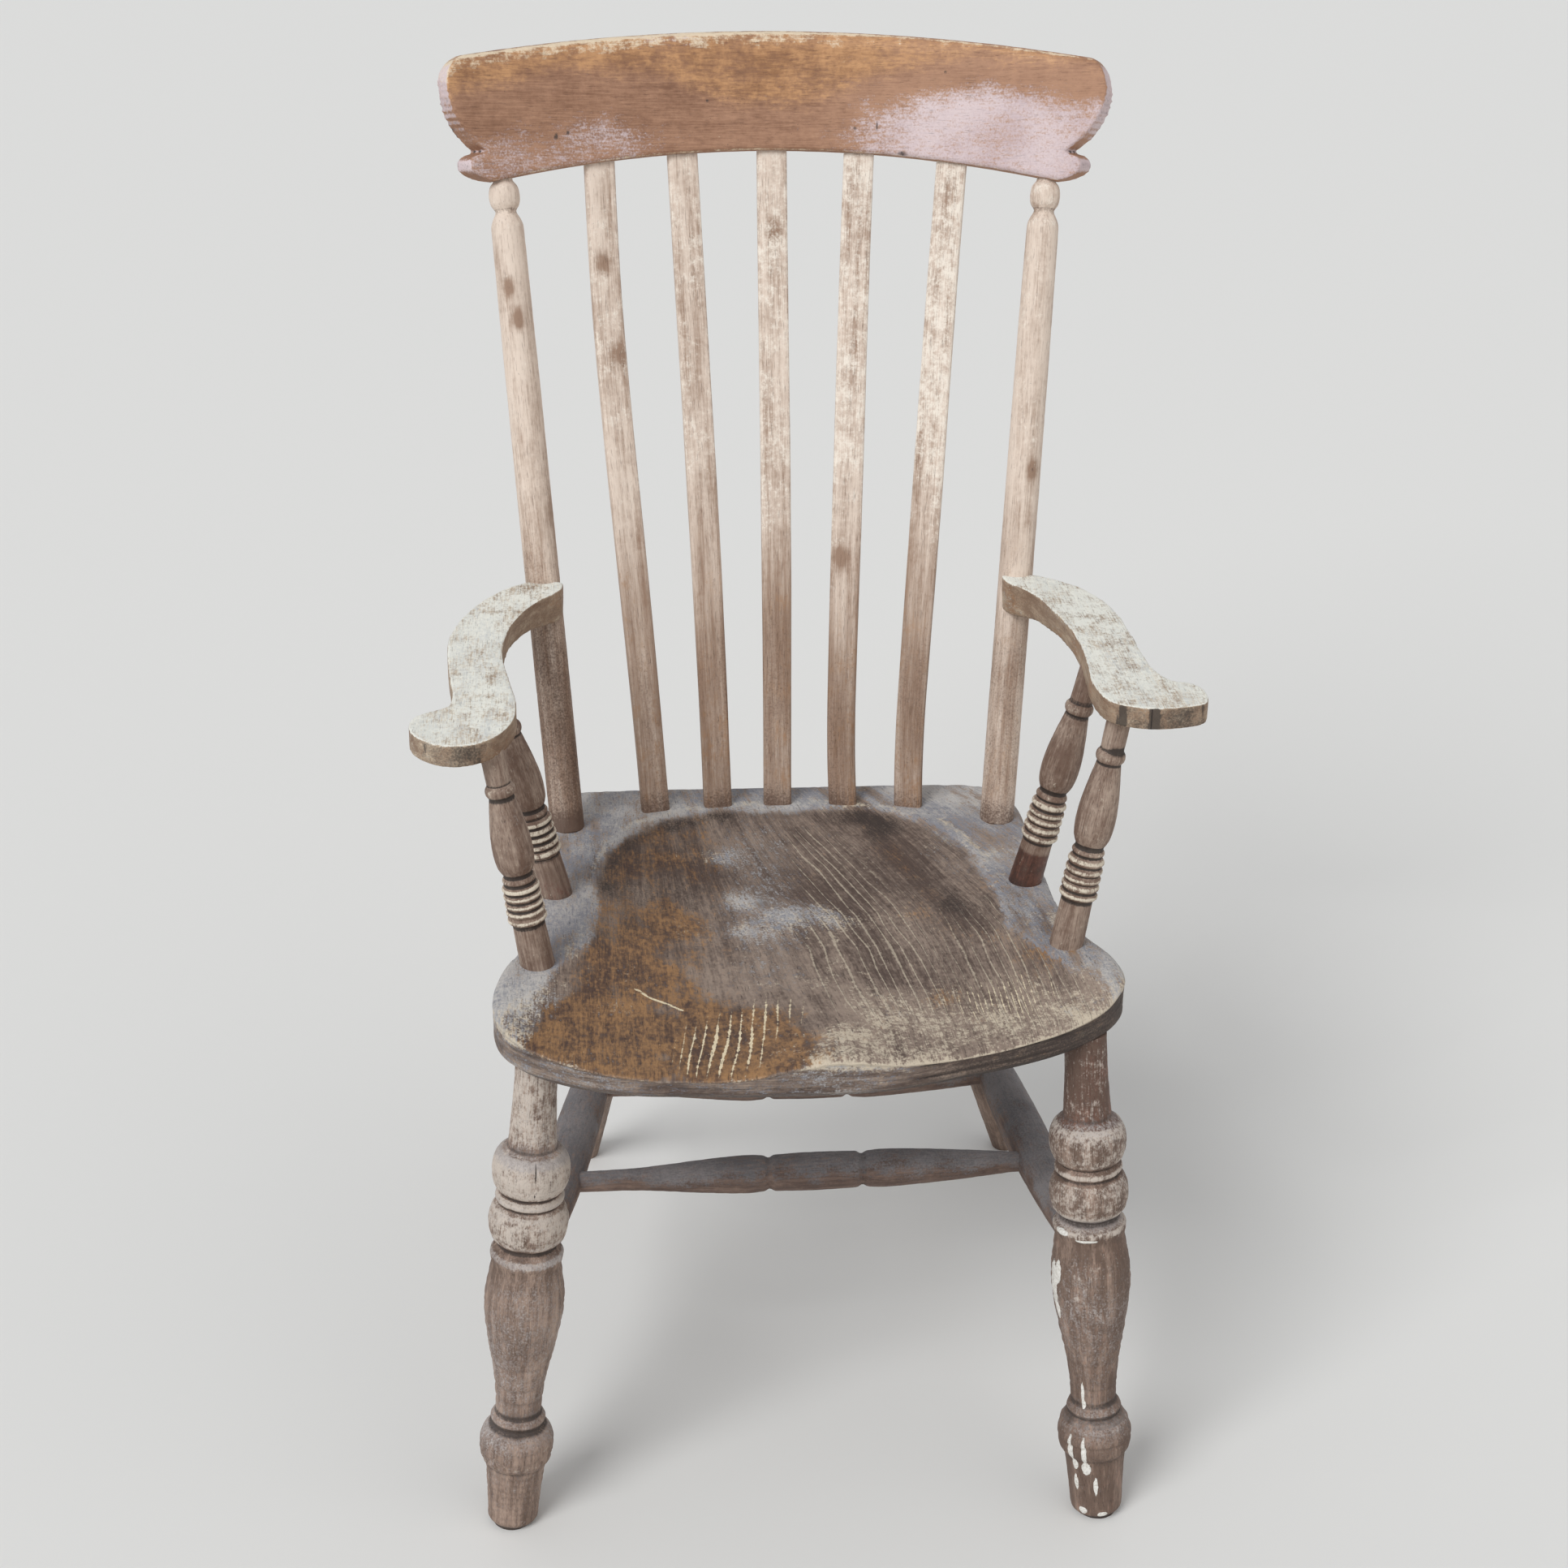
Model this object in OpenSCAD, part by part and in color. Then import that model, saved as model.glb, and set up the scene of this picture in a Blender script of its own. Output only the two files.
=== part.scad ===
// Lath-back Windsor armchair: a saddled elm seat with the legs, back and arms socketed into it.
// Millimetres, +Z up, the chair faces -Y. Left and right are as seen from the front: left is -X.
// Depths in the values below run back from the front feet; stand() moves the whole to its origin,
// the floor under the middle of the chair. Pairs are written [left, right].

/* [Seat] */
// Overall width of the seat, across its front corners
seat_w = 488; // [420:1:600]
// Overall depth of the seat
seat_d = 458; // [400:1:560]
// Thickness of the seat plank
seat_t = 34; // [28:1:45]
// Height of the seat's rim above the floor
seat_h = 450; // [400:1:560]
// Depth of the saddle below the rim
dish = 16; // [6:1:20]
// Flat rim left behind the saddle, to the back edge
rim_back = 40; // [34:1:60]
// Chamfer under the seat's edge
under_chamfer = 7; // [2:1:12]

/* [Legs] */
// Sideways reach of each front foot from the middle
front_foot_x = [241, 238];
// How far each front foot stands behind the nominal front line
front_foot_y = [4, -11];
// Inset of each front leg's socket from the seat's edge beside it
front_socket_inset = [32.21, 21.24];
// Depth of the front leg sockets
front_socket_y = 47; // [30:1:90]
// Extra length of each front leg's vase, turned by hand
vase_extra = [0, 13];
// Sideways place of the rear feet
rear_foot_x = [-177, 243];
// How far each rear foot stands behind its socket
rear_foot_reach = [172, 165];
// Inset of the rear leg sockets from the seat's sides
rear_socket_inset = 90; // [50:1:105]
// Distance of the rear leg sockets from the seat's back edge
rear_socket_ahead = 73; // [45:1:120]
// Radius of a leg's tenon
leg_tenon_r = 12; // [9:0.5:13]
// Depth of a leg's socket in the seat
leg_tenon_l = 22; // [12:1:23]

/* [Stretchers] */
// Height of each side stretcher's joint with its front leg
stretcher_front_h = [205, 214];
// Height of the side stretchers' joints with the rear legs
stretcher_rear_h = 200; // [140:1:230]
// Radius of a side stretcher's swell
side_swell_r = 19; // [14:0.5:22]
// Radius of a cross stretcher's swell
cross_swell_r = 16; // [12:0.5:18]
// Radius of the stretchers' tenons
stretcher_tenon_r = 8.5; // [6:0.5:9.5]
// Shares of the side stretchers in front of each cross stretcher, front then rear, each left then right
cross_at = [[0.37, 0.392], [0.725, 0.733]];
// Where the barrel of a cross stretcher lies, as shares of its length
barrel_span = [0.434, 0.628];

/* [Back] */
// Overall height of the chair
chair_h = 1072; // [960:1:1200]
// Inset of the back posts from the seat's sides
post_inset = 24; // [20:1:40]
// Distance of the back posts from the seat's back edge
post_ahead = 71; // [55:1:95]
// How far the posts lean back between the seat and the crest rail
post_rake = 183; // [100:1:260]
// How far the posts spread between the seat and the crest rail
post_spread = 43; // [0:1:70]
// Radius of a post where it is thickest
post_r = 14.5; // [12:0.5:18]
// Radius of a post's tenons
post_tenon_r = 8; // [6:0.5:10]
// Width of a lath
lath_w = 25.5; // [18:0.5:32]
// Thickness of a lath
lath_t = 10; // [8:0.5:14]
// Sideways places of the laths at the seat, as shares of the post's
lath_base = [-0.589, -0.295, -0.013, 0.295, 0.601];
// Sideways places of the laths at the crest rail, as shares of the post's
lath_top = [-0.648, -0.34, -0.005, 0.32, 0.661];
// How far a lath bows forward at the sitter's loins
lath_bow = 14; // [0:1:30]
// How far each lath has warped to the right
lath_warp = [-4, 1, 0, -4.5, -4.5];
// Share of each lath's height where it has warped most
lath_warp_at = [0.72, 0.4, 0.5, 0.3, 0.3];

/* [Crest rail] */
// How far the crest rail runs past the middle of each post
crest_over = 47.16; // [40:1:80]
// Height of the crest rail along its lean
crest_h = 99; // [80:1:130]
// Thickness of the crest rail
crest_t = 24; // [21:1:30]
// Radius of the crest rail's bend in plan
crest_bend_r = 600; // [500:10:1200]
// Angle at which the crest rail leans back
crest_lean = 14; // [5:1:20]
// Depth of the sockets in the crest rail
crest_socket_l = 26; // [15:1:30]

/* [Arms] */
// Height of the arms' tops above the seat's rim
arm_rise = 200; // [170:1:240]
// Thickness of an arm at its hand
arm_t = 18; // [16:0.5:26]
// Extra thickness of an arm at its post
arm_swell = 10; // [0:1:14]
// Upward slope of each arm towards its hand, in degrees
arm_slope = [-0.7, 2];
// Depth of the flat that an arm's end is let into on the post
arm_housing = 6; // [3:0.5:8]
// Inset of each arm's front and rear spindle sockets from the seat's edge beside them
spindle_inset = [[24.12, 15.2], [24.42, 18.59]];
// How far ahead of its post each arm's front and rear spindle stands on the seat
spindle_ahead = [[234, 120], [222, 116]];
// How far ahead of the post's foot each arm's front and rear spindle meets the arm
spindle_head_ahead = [[228, 122], [210, 116]];
// Radius of the spindles' tenons
spindle_tenon_r = 7; // [5:0.5:8]
// Depth of the spindles' sockets in the seat
spindle_seat_l = 20; // [10:1:24]
// Depth of the spindles' sockets in the arms
spindle_arm_l = 11; // [6:1:13]

/* [Screws] */
// Radius of the shank of an arm screw
screw_r = 2.5; // [2:0.1:3]
// Radius of the head of an arm screw
screw_head_r = 4.8; // [4:0.1:6]

/* [Fits] */
// Clearance round a tenon in its socket
fit = 0.1; // [0.05:0.05:0.3]
// Clearance at the end of a tenon
end_fit = 0.6; // [0.3:0.1:2]

/* [Hidden] */
$fn = 48;
left = 0;
right = 1;
far = 2000;
seam_turn = 37;

function sgn(side) = side == left ? -1 : 1;
function mix(a, b, t) = a + (b - a) * t;
function clamp(v) = max(0, min(1, v));
function unit(v) = v / norm(v);

// Catmull-Rom curve through the points, n steps a span
function curve_point(p, i, t, closed) =
    let (m = len(p), a = closed ? p[(i + m - 1) % m] : p[max(i - 1, 0)], b = p[i],
         c = closed ? p[(i + 1) % m] : p[i + 1], d = closed ? p[(i + 2) % m] : p[min(i + 2, m - 1)])
    0.5 * (2 * b + (c - a) * t + (2 * a - 5 * b + 4 * c - d) * t * t + (3 * b - a - 3 * c + d) * t * t * t);
function closed_curve(p, n) = [for (i = [0:len(p) - 1], k = [0:n - 1]) curve_point(p, i, k / n, true)];
function open_curve(p, n) = concat(
    [for (i = [0:len(p) - 2], k = [0:n - 1]) curve_point(p, i, k / n, false)], [p[len(p) - 1]]);

// Half-round of a turned bead, from z0 to z1, standing out from r
function bead(z0, z1, r, out, n = 6) =
    [for (i = [0:n]) [r + out * sin(180 * i / n), mix(z0, z1, (1 - cos(180 * i / n)) / 2)]];

// Solid of revolution of a list of [radius, height]
module turned(profile)
    rotate_extrude()
        polygon(concat([[0, profile[0][1]]], profile, [[0, profile[len(profile) - 1][1]]]));

// Stands its children on a, with their Z towards b. The last turn, about Z, keeps the seams of turned
// faces clear of the ends of the ellipses where slanted pieces are cut level.
module along(a, b) {
    d = b - a;
    translate(a) rotate([0, acos(d[2] / norm(d)), atan2(d[1], d[0])]) rotate([0, 0, seam_turn]) children();
}

// Cylinder between two distances on the line from a towards b
module rod(a, b, from, to, r) along(a, b) translate([0, 0, from]) cylinder(r = r, h = to - from);

module stand() translate([0, -mid_y, 0]) children();

// ---- seat ----
seat_under = seat_h - seat_t;
seat_front = -33;
seat_back = seat_front + seat_d;
half_w = seat_w / 2;
back_half = 0.86 * half_w;
seat_heart = [0, seat_front + 0.51 * seat_d];
// Plan of the seat as shares of its half width and depth, from the middle of the front to its left
seat_plan = [
    [0.04, 0], [0.24, 0.01], [0.44, 0.04], [0.63, 0.072], [0.79, 0.11], [0.925, 0.162], [1, 0.235],
    [0.985, 0.32], [0.92, 0.395], [0.87, 0.5], [0.862, 0.62], [0.86, 0.8], [0.84, 0.92], [0.76, 0.985],
    [0.6, 1], [0, 1], [-0.6, 1], [-0.76, 0.985], [-0.84, 0.92], [-0.86, 0.8], [-0.862, 0.62],
    [-0.87, 0.5], [-0.91, 0.395], [-0.965, 0.32], [-0.995, 0.23], [-0.98, 0.155], [-0.92, 0.1],
    [-0.8, 0.055], [-0.65, 0.024], [-0.45, 0.006], [-0.22, 0]
];
seat_outline = closed_curve([for (p = seat_plan) [p[0] * half_w, seat_front + p[1] * seat_d]], 3);
// Half width of the seat on one side, at depth y
function seat_side(side, y) = let (m = len(seat_outline))
    max([for (k = [0:m - 1]) let (a = seat_outline[k], b = seat_outline[(k + 1) % m])
        if ((a[1] - y) * (b[1] - y) <= 0 && a[1] != b[1])
            sgn(side) * mix(a[0], b[0], (y - a[1]) / (b[1] - a[1]))]);

// Half width of the saddle at depth y: narrow at the back, out to the corners in front
function saddle_half(y) = let (t = clamp((0.44 * seat_d + seat_front - y) / (0.28 * seat_d)))
    0.69 * half_w + 0.31 * half_w * pow(t, 1.3);
// Depth of the saddle below the rim at a point, with a pommel in the middle of the front.
// It is shallower at the right of the front, where the plank has moved.
function saddle(x, y) =
    let (tx = abs(x) / saddle_half(y), y1 = seat_back - rim_back, y0 = seat_front + 0.4 * seat_d,
         ty = max(0, (y - y0) / (y1 - y0)), r = pow(pow(tx, 3.2) + pow(ty, 3.2), 1 / 3.2),
         pommel = exp(-pow((x - 0.05 * half_w) / (0.16 * half_w), 2) / 2)
                  * clamp((seat_front + 0.34 * seat_d - y) / (0.34 * seat_d)))
    r >= 1 ? 0 : dish * (1 - pow(r, 3)) * (1 - pommel) * (1 - 0.35 * clamp(x / 80) * clamp((60 - y) / 90));
// Rings of the seat's surface: share of the way out to the outline, and drop below the saddle
seat_rings = [
    [0.12, 0], [0.25, 0], [0.38, 0], [0.5, 0], [0.6, 0], [0.68, 0], [0.75, 0], [0.81, 0], [0.87, 0],
    [0.92, 0], [0.96, 0], [0.985, 0.6], [1, 3.5]
];

module seat_blank() {
    m = len(seat_outline);
    n = len(seat_rings);
    function at(k, s) = [for (i = [0:1]) mix(seat_heart[i], seat_outline[k][i], s)];
    function top_z(p, drop) = seat_h - saddle(p[0], p[1]) - drop;
    heart = [seat_heart[0], seat_heart[1], top_z(seat_heart, 0)];
    tops = [for (ring = seat_rings, k = [0:m - 1])
        let (p = at(k, ring[0])) [p[0], p[1], top_z(p, ring[1])]];
    sides = [for (k = [0:m - 1]) [seat_outline[k][0], seat_outline[k][1], seat_under + under_chamfer]];
    inset = 1 - under_chamfer / half_w;
    lows = [for (k = [0:m - 1]) let (p = at(k, inset)) [p[0], p[1], seat_under]];
    base = [seat_heart[0], seat_heart[1], seat_under];
    points = concat([heart], tops, sides, lows, [base]);
    first = 1;
    last = len(points) - 1;
    rows = n + 2;
    faces = concat(
        [for (k = [0:m - 1]) [0, first + (k + 1) % m, first + k]],
        [for (j = [0:rows - 2], k = [0:m - 1]) let (a = first + j * m + k, b = first + j * m + (k + 1) % m)
            each [[a, b, b + m], [a, b + m, a + m]]],
        [for (k = [0:m - 1]) [last, first + (rows - 1) * m + k, first + (rows - 1) * m + (k + 1) % m]]);
    polyhedron(points, faces);
}

module seat() color("peru") stand()
    difference() {
        seat_blank();
        for (side = [left, right]) {
            leg_socket(front_foot(side), front_top(side));
            leg_socket(rear_foot(side), rear_top(side));
            rod(post_foot(side), post_top(side), -post_tenon_l - end_fit, far, post_tenon_r + fit);
            for (place = [0, 1])
                rod(spindle_foot(side, place), spindle_top(side, place), -spindle_seat_l - end_fit, far,
                    spindle_tenon_r + fit);
        }
        for (i = [0:4]) lath_socket(i, false);
    }

// ---- legs ----
rear_socket_y = seat_back - rear_socket_ahead;
function front_foot(side) = [sgn(side) * front_foot_x[side], front_foot_y[side], 0];
function front_top(side) =
    [sgn(side) * (seat_side(side, front_socket_y) - front_socket_inset[side]), front_socket_y, seat_under];
function rear_foot(side) = [rear_foot_x[side], rear_socket_y + rear_foot_reach[side], 0];
function rear_top(side) = [sgn(side) * (back_half - rear_socket_inset), rear_socket_y, seat_under];
// Point on the line from a to b at height z
function at_height(a, b, z) = mix(a, b, (z - a[2]) / (b[2] - a[2]));

// Front leg: foot, bulb, ankle ring, vase, collar, two great rings and a plain neck.
// The rings are set out down from the seat and the foot up from the floor; the vase fills between.
ring_drop = 77;
function front_leg_profile(side) =
    let (l = norm(front_top(side) - front_foot(side)), up = l - ring_drop - 342 + vase_extra[side],
         s = (236 + up - 104) / 132)
    concat(
        [[15, -8], [15.6, 0], [18, 6], [19.3, 27], [21.5, 50], [22.5, 57]],
        open_curve([[25.5, 60], [27.3, 68], [27.5, 77], [25, 86], [19.5, 92.5]], 2),
        bead(93.5, 101, 17.5, 2.6, 4),
        open_curve([[16.2, 104], [16.8, 104 + 14 * s], [19.5, 104 + 34 * s], [24.6, 104 + 59 * s],
            [29, 104 + 84 * s], [30.2, 104 + 101 * s], [29.2, 104 + 115 * s], [26.6, 236 + up]], 3),
        [[26, 237.5 + up], [28, 246 + up], [27.6, 249 + up], [23.5, 252 + up], [21.2, 255.5 + up]],
        bead(258 + up, 291.5 + up, 23, 7.4, 8),
        [[22.5, 292.5 + up], [26, 294 + up], [26, 298.5 + up], [22.3, 300.5 + up]],
        bead(301.5 + up, 337 + up, 21.5, 8.2, 8),
        open_curve([[18.8, 339 + up], [17.7, 352 + up], [16.4, mix(352 + up, l, 0.5)], [16.2, l + 12]], 3));

rear_swell_r = 18.5;
function rear_leg_profile(side) = let (l = norm(rear_top(side) - rear_foot(side)))
    open_curve([[12, -10], [12.5, 6], [15, 0.2 * l], [rear_swell_r, 0.4 * l], [rear_swell_r, 0.5 * l],
        [16.5, 0.72 * l], [14.5, 0.93 * l], [14.5, l + 14]], 4);

module leg_socket(foot, top)
    rod(foot, top, norm(top - foot) - 20, norm(top - foot) + leg_tenon_l + end_fit, leg_tenon_r + fit);

// Turned leg cut flat at the floor and at the seat's underside, with its tenon
module leg(foot, top, profile) {
    l = norm(top - foot);
    intersection() {
        along(foot, top) turned(profile);
        translate([-far / 2, -far / 2, 0]) cube([far, far, seat_under]);
    }
    rod(foot, top, l - 18, l + leg_tenon_l, leg_tenon_r);
}

module front_leg(side) color("tan") stand()
    difference() {
        leg(front_foot(side), front_top(side), front_leg_profile(side));
        rod(side_a(side), side_b(side), side_start - end_fit, far / 10, stretcher_tenon_r + fit);
    }
module rear_leg(side) color("tan") stand()
    difference() {
        leg(rear_foot(side), rear_top(side), rear_leg_profile(side));
        rod(side_b(side), side_a(side), side_end - end_fit, far / 10, stretcher_tenon_r + fit);
    }

// ---- stretchers ----
function side_a(side) = at_height(front_foot(side), front_top(side), stretcher_front_h[side]);
function side_b(side) = at_height(rear_foot(side), rear_top(side), stretcher_rear_h);
// How near to the leg's axis a side stretcher's tenon reaches, front and rear
side_start = 12;
side_end = 4;
// How near to the side stretcher's axis a cross stretcher's tenon reaches
cross_start = 4;
function cross_point(side, place) = mix(side_a(side), side_b(side), cross_at[place][side]);

function side_profile(l) = let (r = stretcher_tenon_r) concat(
    [[r, side_start], [r, 33]],
    open_curve([[r + 1.5, 37], [r + 4, 0.16 * l], [side_swell_r - 1.5, 0.32 * l], [side_swell_r, 0.48 * l],
        [side_swell_r - 2, 0.7 * l], [r + 4, 0.84 * l], [r + 1.5, l - 34]], 4),
    [[r, l - 30], [r, l - side_end]]);

// Cross stretcher: two long swelling vases and, between two grooves, a barrel. The left vase tapers more.
function cross_profile(l) = let (r = stretcher_tenon_r, b0 = barrel_span[0] * l, b1 = barrel_span[1] * l)
    concat(
        [[r, cross_start], [r, 22]],
        open_curve([[r, 22], [9.5, mix(22, b0, 0.3)], [14, mix(22, b0, 0.65)],
            [cross_swell_r, mix(22, b0, 0.86)], [cross_swell_r - 1, b0 - 4]], 3),
        [[cross_swell_r - 3.2, b0 - 1], [cross_swell_r - 3.2, b0 + 1]],
        open_curve([[cross_swell_r - 0.8, b0 + 3.5], [cross_swell_r, (b0 + b1) / 2],
            [cross_swell_r - 0.8, b1 - 3.5]], 3),
        [[cross_swell_r - 3.2, b1 - 1], [cross_swell_r - 3.2, b1 + 1]],
        open_curve([[cross_swell_r - 1, b1 + 4], [cross_swell_r, mix(l - 22, b1, 0.86)],
            [15, mix(l - 22, b1, 0.65)], [12, mix(l - 22, b1, 0.3)], [r, l - 22]], 3),
        [[r, l - cross_start]]);

module side_stretcher(side) color("rosybrown") stand()
    difference() {
        along(side_a(side), side_b(side)) turned(side_profile(norm(side_b(side) - side_a(side))));
        for (place = [0, 1])
            rod(cross_point(side, place), cross_point(1 - side, place), cross_start - end_fit, far / 10,
                stretcher_tenon_r + fit);
    }
module cross_stretcher(place) color("rosybrown") stand()
    along(cross_point(left, place), cross_point(right, place))
        turned(cross_profile(norm(cross_point(right, place) - cross_point(left, place))));

// ---- back posts ----
post_x = back_half - post_inset;
post_y = seat_back - post_ahead;
post_top_y = post_y + post_rake;
post_tenon_l = 20;
// Middle of the crest rail's lower edge, where the crest rail's own frame has its zero
crest_half = post_x + post_spread + crest_over;
crest_mid_y = post_top_y + pow(post_x + post_spread, 2) / (2 * crest_bend_r) + 3;
crest_mid_z = chair_h - crest_h * cos(crest_lean) - crest_t / 2 * sin(crest_lean) + 2;
// The post's ball ends just under the crest rail's lower edge
ball_gap = 1.5;
post_end_z = crest_at(post_x + post_spread, crest_low(post_x + post_spread))[2] - ball_gap;
function post_foot(side) = [sgn(side) * post_x, post_y, seat_h];
function post_top(side) = [sgn(side) * (post_x + post_spread), post_top_y, post_end_z];
function post_length(side) = norm(post_top(side) - post_foot(side));

// Post: thick above the seat, slowly tapering to a rounded shoulder, neck and ball
function post_profile(l) = concat(
    open_curve([[post_r, -14], [post_r, 0.05 * l], [post_r, 0.4 * l], [post_r - 0.3, 0.7 * l],
        [post_r - 1, l - 40]], 3),
    open_curve([[post_r - 1.3, l - 36], [post_r - 3.2, l - 31], [8.8, l - 27]], 3),
    bead(l - 24, l - 1, 8, 4.9, 6),
    [[post_tenon_r, l], [post_tenon_r, l + crest_socket_l - 8]]);

module back_post(side) color("wheat") stand() {
    l = post_length(side);
    difference() {
        union() {
            intersection() {
                along(post_foot(side), post_top(side)) turned(post_profile(l));
                translate([-far / 2, -far / 2, seat_h]) cube([far, far, far]);
            }
            rod(post_foot(side), post_top(side), -post_tenon_l, 10, post_tenon_r);
        }
        arm_space(side, fit, arm_fit);
        screw_space(side, fit);
    }
}

// ---- laths ----
// The laths stand on an arc across the seat and on the crest rail's bend
lath_y = post_y + 36;
lath_arc_r = 700;
lath_tenon_l = 18;
lath_end_l = 34;
function lath_foot(i) = let (x = lath_base[i] * post_x) [x, lath_y - x * x / (2 * lath_arc_r), seat_h];
function lath_head(i) = let (x = lath_top[i] * (post_x + post_spread)) crest_at(x, crest_low(x));
// Path of a lath: straight in its two sockets, bowed forward between
lath_steps = 12;
function lath_path(i) =
    let (a = lath_foot(i), b = lath_head(i), late = ln(0.5) / ln(lath_warp_at[i]))
    [for (k = [0:lath_steps]) let (t = k / lath_steps, warp = lath_warp[i] * sin(180 * pow(t, late)))
        mix(a, b, t) + [warp, -lath_bow * pow(sin(180 * pow(t, 0.8)), 2), 0]];
function lath_down(i) = let (p = lath_path(i)) unit(p[0] - p[1]);
function lath_up(i) = let (p = lath_path(i)) unit(p[lath_steps] - p[lath_steps - 1]);
// Chamfered section of a lath
function lath_section(w, t, c = 1.8) = [
    [w / 2 - c, -t / 2], [w / 2, -t / 2 + c], [w / 2, t / 2 - c], [w / 2 - c, t / 2],
    [-w / 2 + c, t / 2], [-w / 2, t / 2 - c], [-w / 2, -t / 2 + c], [-w / 2 + c, -t / 2]
];
// Turn of a lath about its length, which follows the crest rail's bend
function lath_turn(i) = -asin(lath_top[i] * (post_x + post_spread) / crest_bend_r);
// Section of lath i set square to the direction d at point p
function lath_ring(i, p, d, w = lath_w, t = lath_t) =
    let (a = lath_turn(i), across = unit([cos(a), sin(a), 0] - d * (d * [cos(a), sin(a), 0])),
         through = cross(d, across))
    [for (q = lath_section(w, t)) p + across * q[0] + through * q[1]];
// Closed skin over a list of rings of points
module skin(rings) {
    m = len(rings[0]);
    n = len(rings);
    polyhedron([for (ring = rings) each ring], concat(
        [[for (k = [0:m - 1]) k]],
        [for (j = [0:n - 2], k = [0:m - 1]) let (a = j * m + k, b = j * m + (k + 1) % m)
            each [[a, a + m, b + m], [a, b + m, b]]],
        [[for (k = [m - 1:-1:0]) (n - 1) * m + k]]));
}

module lath(i) color("wheat") stand() {
    p = lath_path(i);
    n = lath_steps;
    down = lath_down(i);
    up = lath_up(i);
    skin(concat(
        [lath_ring(i, p[0] + down * lath_tenon_l, -down)],
        [for (k = [0:n]) lath_ring(i, p[k], k == 0 ? -down : k == n ? up : unit(p[k + 1] - p[k - 1]))],
        [lath_ring(i, p[n] + up * (crest_socket_l - 4), up)]));
}
// Mortise of a lath, in the crest rail or in the seat
module lath_socket(i, in_crest) {
    p = lath_path(i);
    start = in_crest ? p[lath_steps] : p[0];
    d = in_crest ? lath_up(i) : lath_down(i);
    ahead = in_crest ? d : -d;
    deep = in_crest ? crest_socket_l - 4 + end_fit : lath_tenon_l + end_fit;
    w = lath_w + 2 * fit;
    t = lath_t + 2 * fit;
    skin(in_crest
        ? [lath_ring(i, start - d * lath_end_l, d, w, t), lath_ring(i, start + d * deep, d, w, t)]
        : [lath_ring(i, start + d * deep, ahead, w, t), lath_ring(i, start - d * lath_end_l, ahead, w, t)]);
}

// ---- crest rail ----
// Its own frame: X across, Y through its thickness, Z up along its lean, zero at the middle of the
// lower edge. crest_at gives a point of its middle surface in the chair's frame.
function crest_back(x) = -x * x / (2 * crest_bend_r);
function crest_place(p) = [p[0], crest_mid_y + p[1] * cos(crest_lean) + p[2] * sin(crest_lean),
    crest_mid_z - p[1] * sin(crest_lean) + p[2] * cos(crest_lean)];
function crest_at(x, z) = crest_place([x, crest_back(x), z]);
// The lower and upper edges are both arched
function crest_low(x) = -27 * pow(abs(x) / (0.86 * crest_half), 2);
function crest_high(x) = crest_h - 18 * pow(abs(x) / (0.81 * crest_half), 2);
// Section through the rail: a rounded, thinner foot and a fuller rolled top
function crest_section(x) =
    let (h = crest_high(x) - crest_low(x), t = crest_t / 2, y = crest_back(x), z = crest_low(x))
    [for (q = [[-t + 3, 0], [t - 3, 0], [t, 3], [t, h - 9], [t - 1.5, h - 4], [t - 5, h - 0.8],
        [t - 9, h], [-t + 7, h - 1], [-t + 3, h - 3.5], [-t + 0.8, h - 8], [-t, h - 14], [-t, 2.5]])
        crest_place([x, y + q[0], z + q[1]])];
crest_steps = 28;
// The blank runs past the ends that are cut from it
crest_reach = crest_half + crest_t / 2;
// End of the rail in front view, from the lower edge: an ear, a sharp notch and a swept end.
// Shares are of the half width across, millimetres up.
crest_ear = open_curve([[0.84, -27.5], [0.89, -25.5], [0.932, -20], [0.943, -12], [0.925, -5.8],
    [0.893, -3.6]], 3);
crest_end = open_curve([[0.893, -2.4], [0.92, 3], [0.957, 14], [0.988, 30], [1, 46], [0.997, 58],
    [0.978, 68], [0.945, 74.5], [0.88, 79]], 3);

// The ends and notches are cut square to the bend, so an outline point at depth y lies on a line from
// the middle of the bend. Low down they flare, so the back edge runs this much further out still:
crest_flare = 8;
function crest_fan(p, y) = let (d = y - crest_back(p[0]), low = max(0, min(1, (50 - p[1]) / 45)))
    crest_place([p[0] * (1 + d / crest_bend_r) + sign(p[0]) * crest_flare * low * d / crest_t, y, p[1]]);
// Depths of the outline's back and front faces, clear of the rail
crest_cut_y = [120, -180];
module crest_outline() {
    side = [for (q = concat(crest_ear, crest_end)) [q[0] * crest_half, q[1]]];
    n = len(side);
    around = concat([[0, -60], [0.84 * crest_half, -60]], side,
        [[0.86 * crest_half, 140], [-0.86 * crest_half, 140]],
        [for (k = [n - 1:-1:0]) [-side[k][0], side[k][1]]], [[-0.84 * crest_half, -60]]);
    skin([for (y = crest_cut_y) [for (p = around) crest_fan(p, y)]]);
}
module crest_rail() color("sienna") stand()
    difference() {
        intersection() {
            skin([for (k = [0:crest_steps]) crest_section(mix(-crest_reach, crest_reach, k / crest_steps))]);
            crest_outline();
        }
        for (i = [0:4]) lath_socket(i, true);
        for (side = [left, right])
            rod(post_foot(side), post_top(side), post_length(side) - 4,
                post_length(side) + crest_socket_l - 8 + end_fit, post_tenon_r + fit);
    }

// ---- arms ----
arm_z = seat_h + arm_rise;
arm_fit = 0.05;
// Point of a post at the height of the arm's top
function arm_root(side) = at_height(post_foot(side), post_top(side), arm_z);
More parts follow.
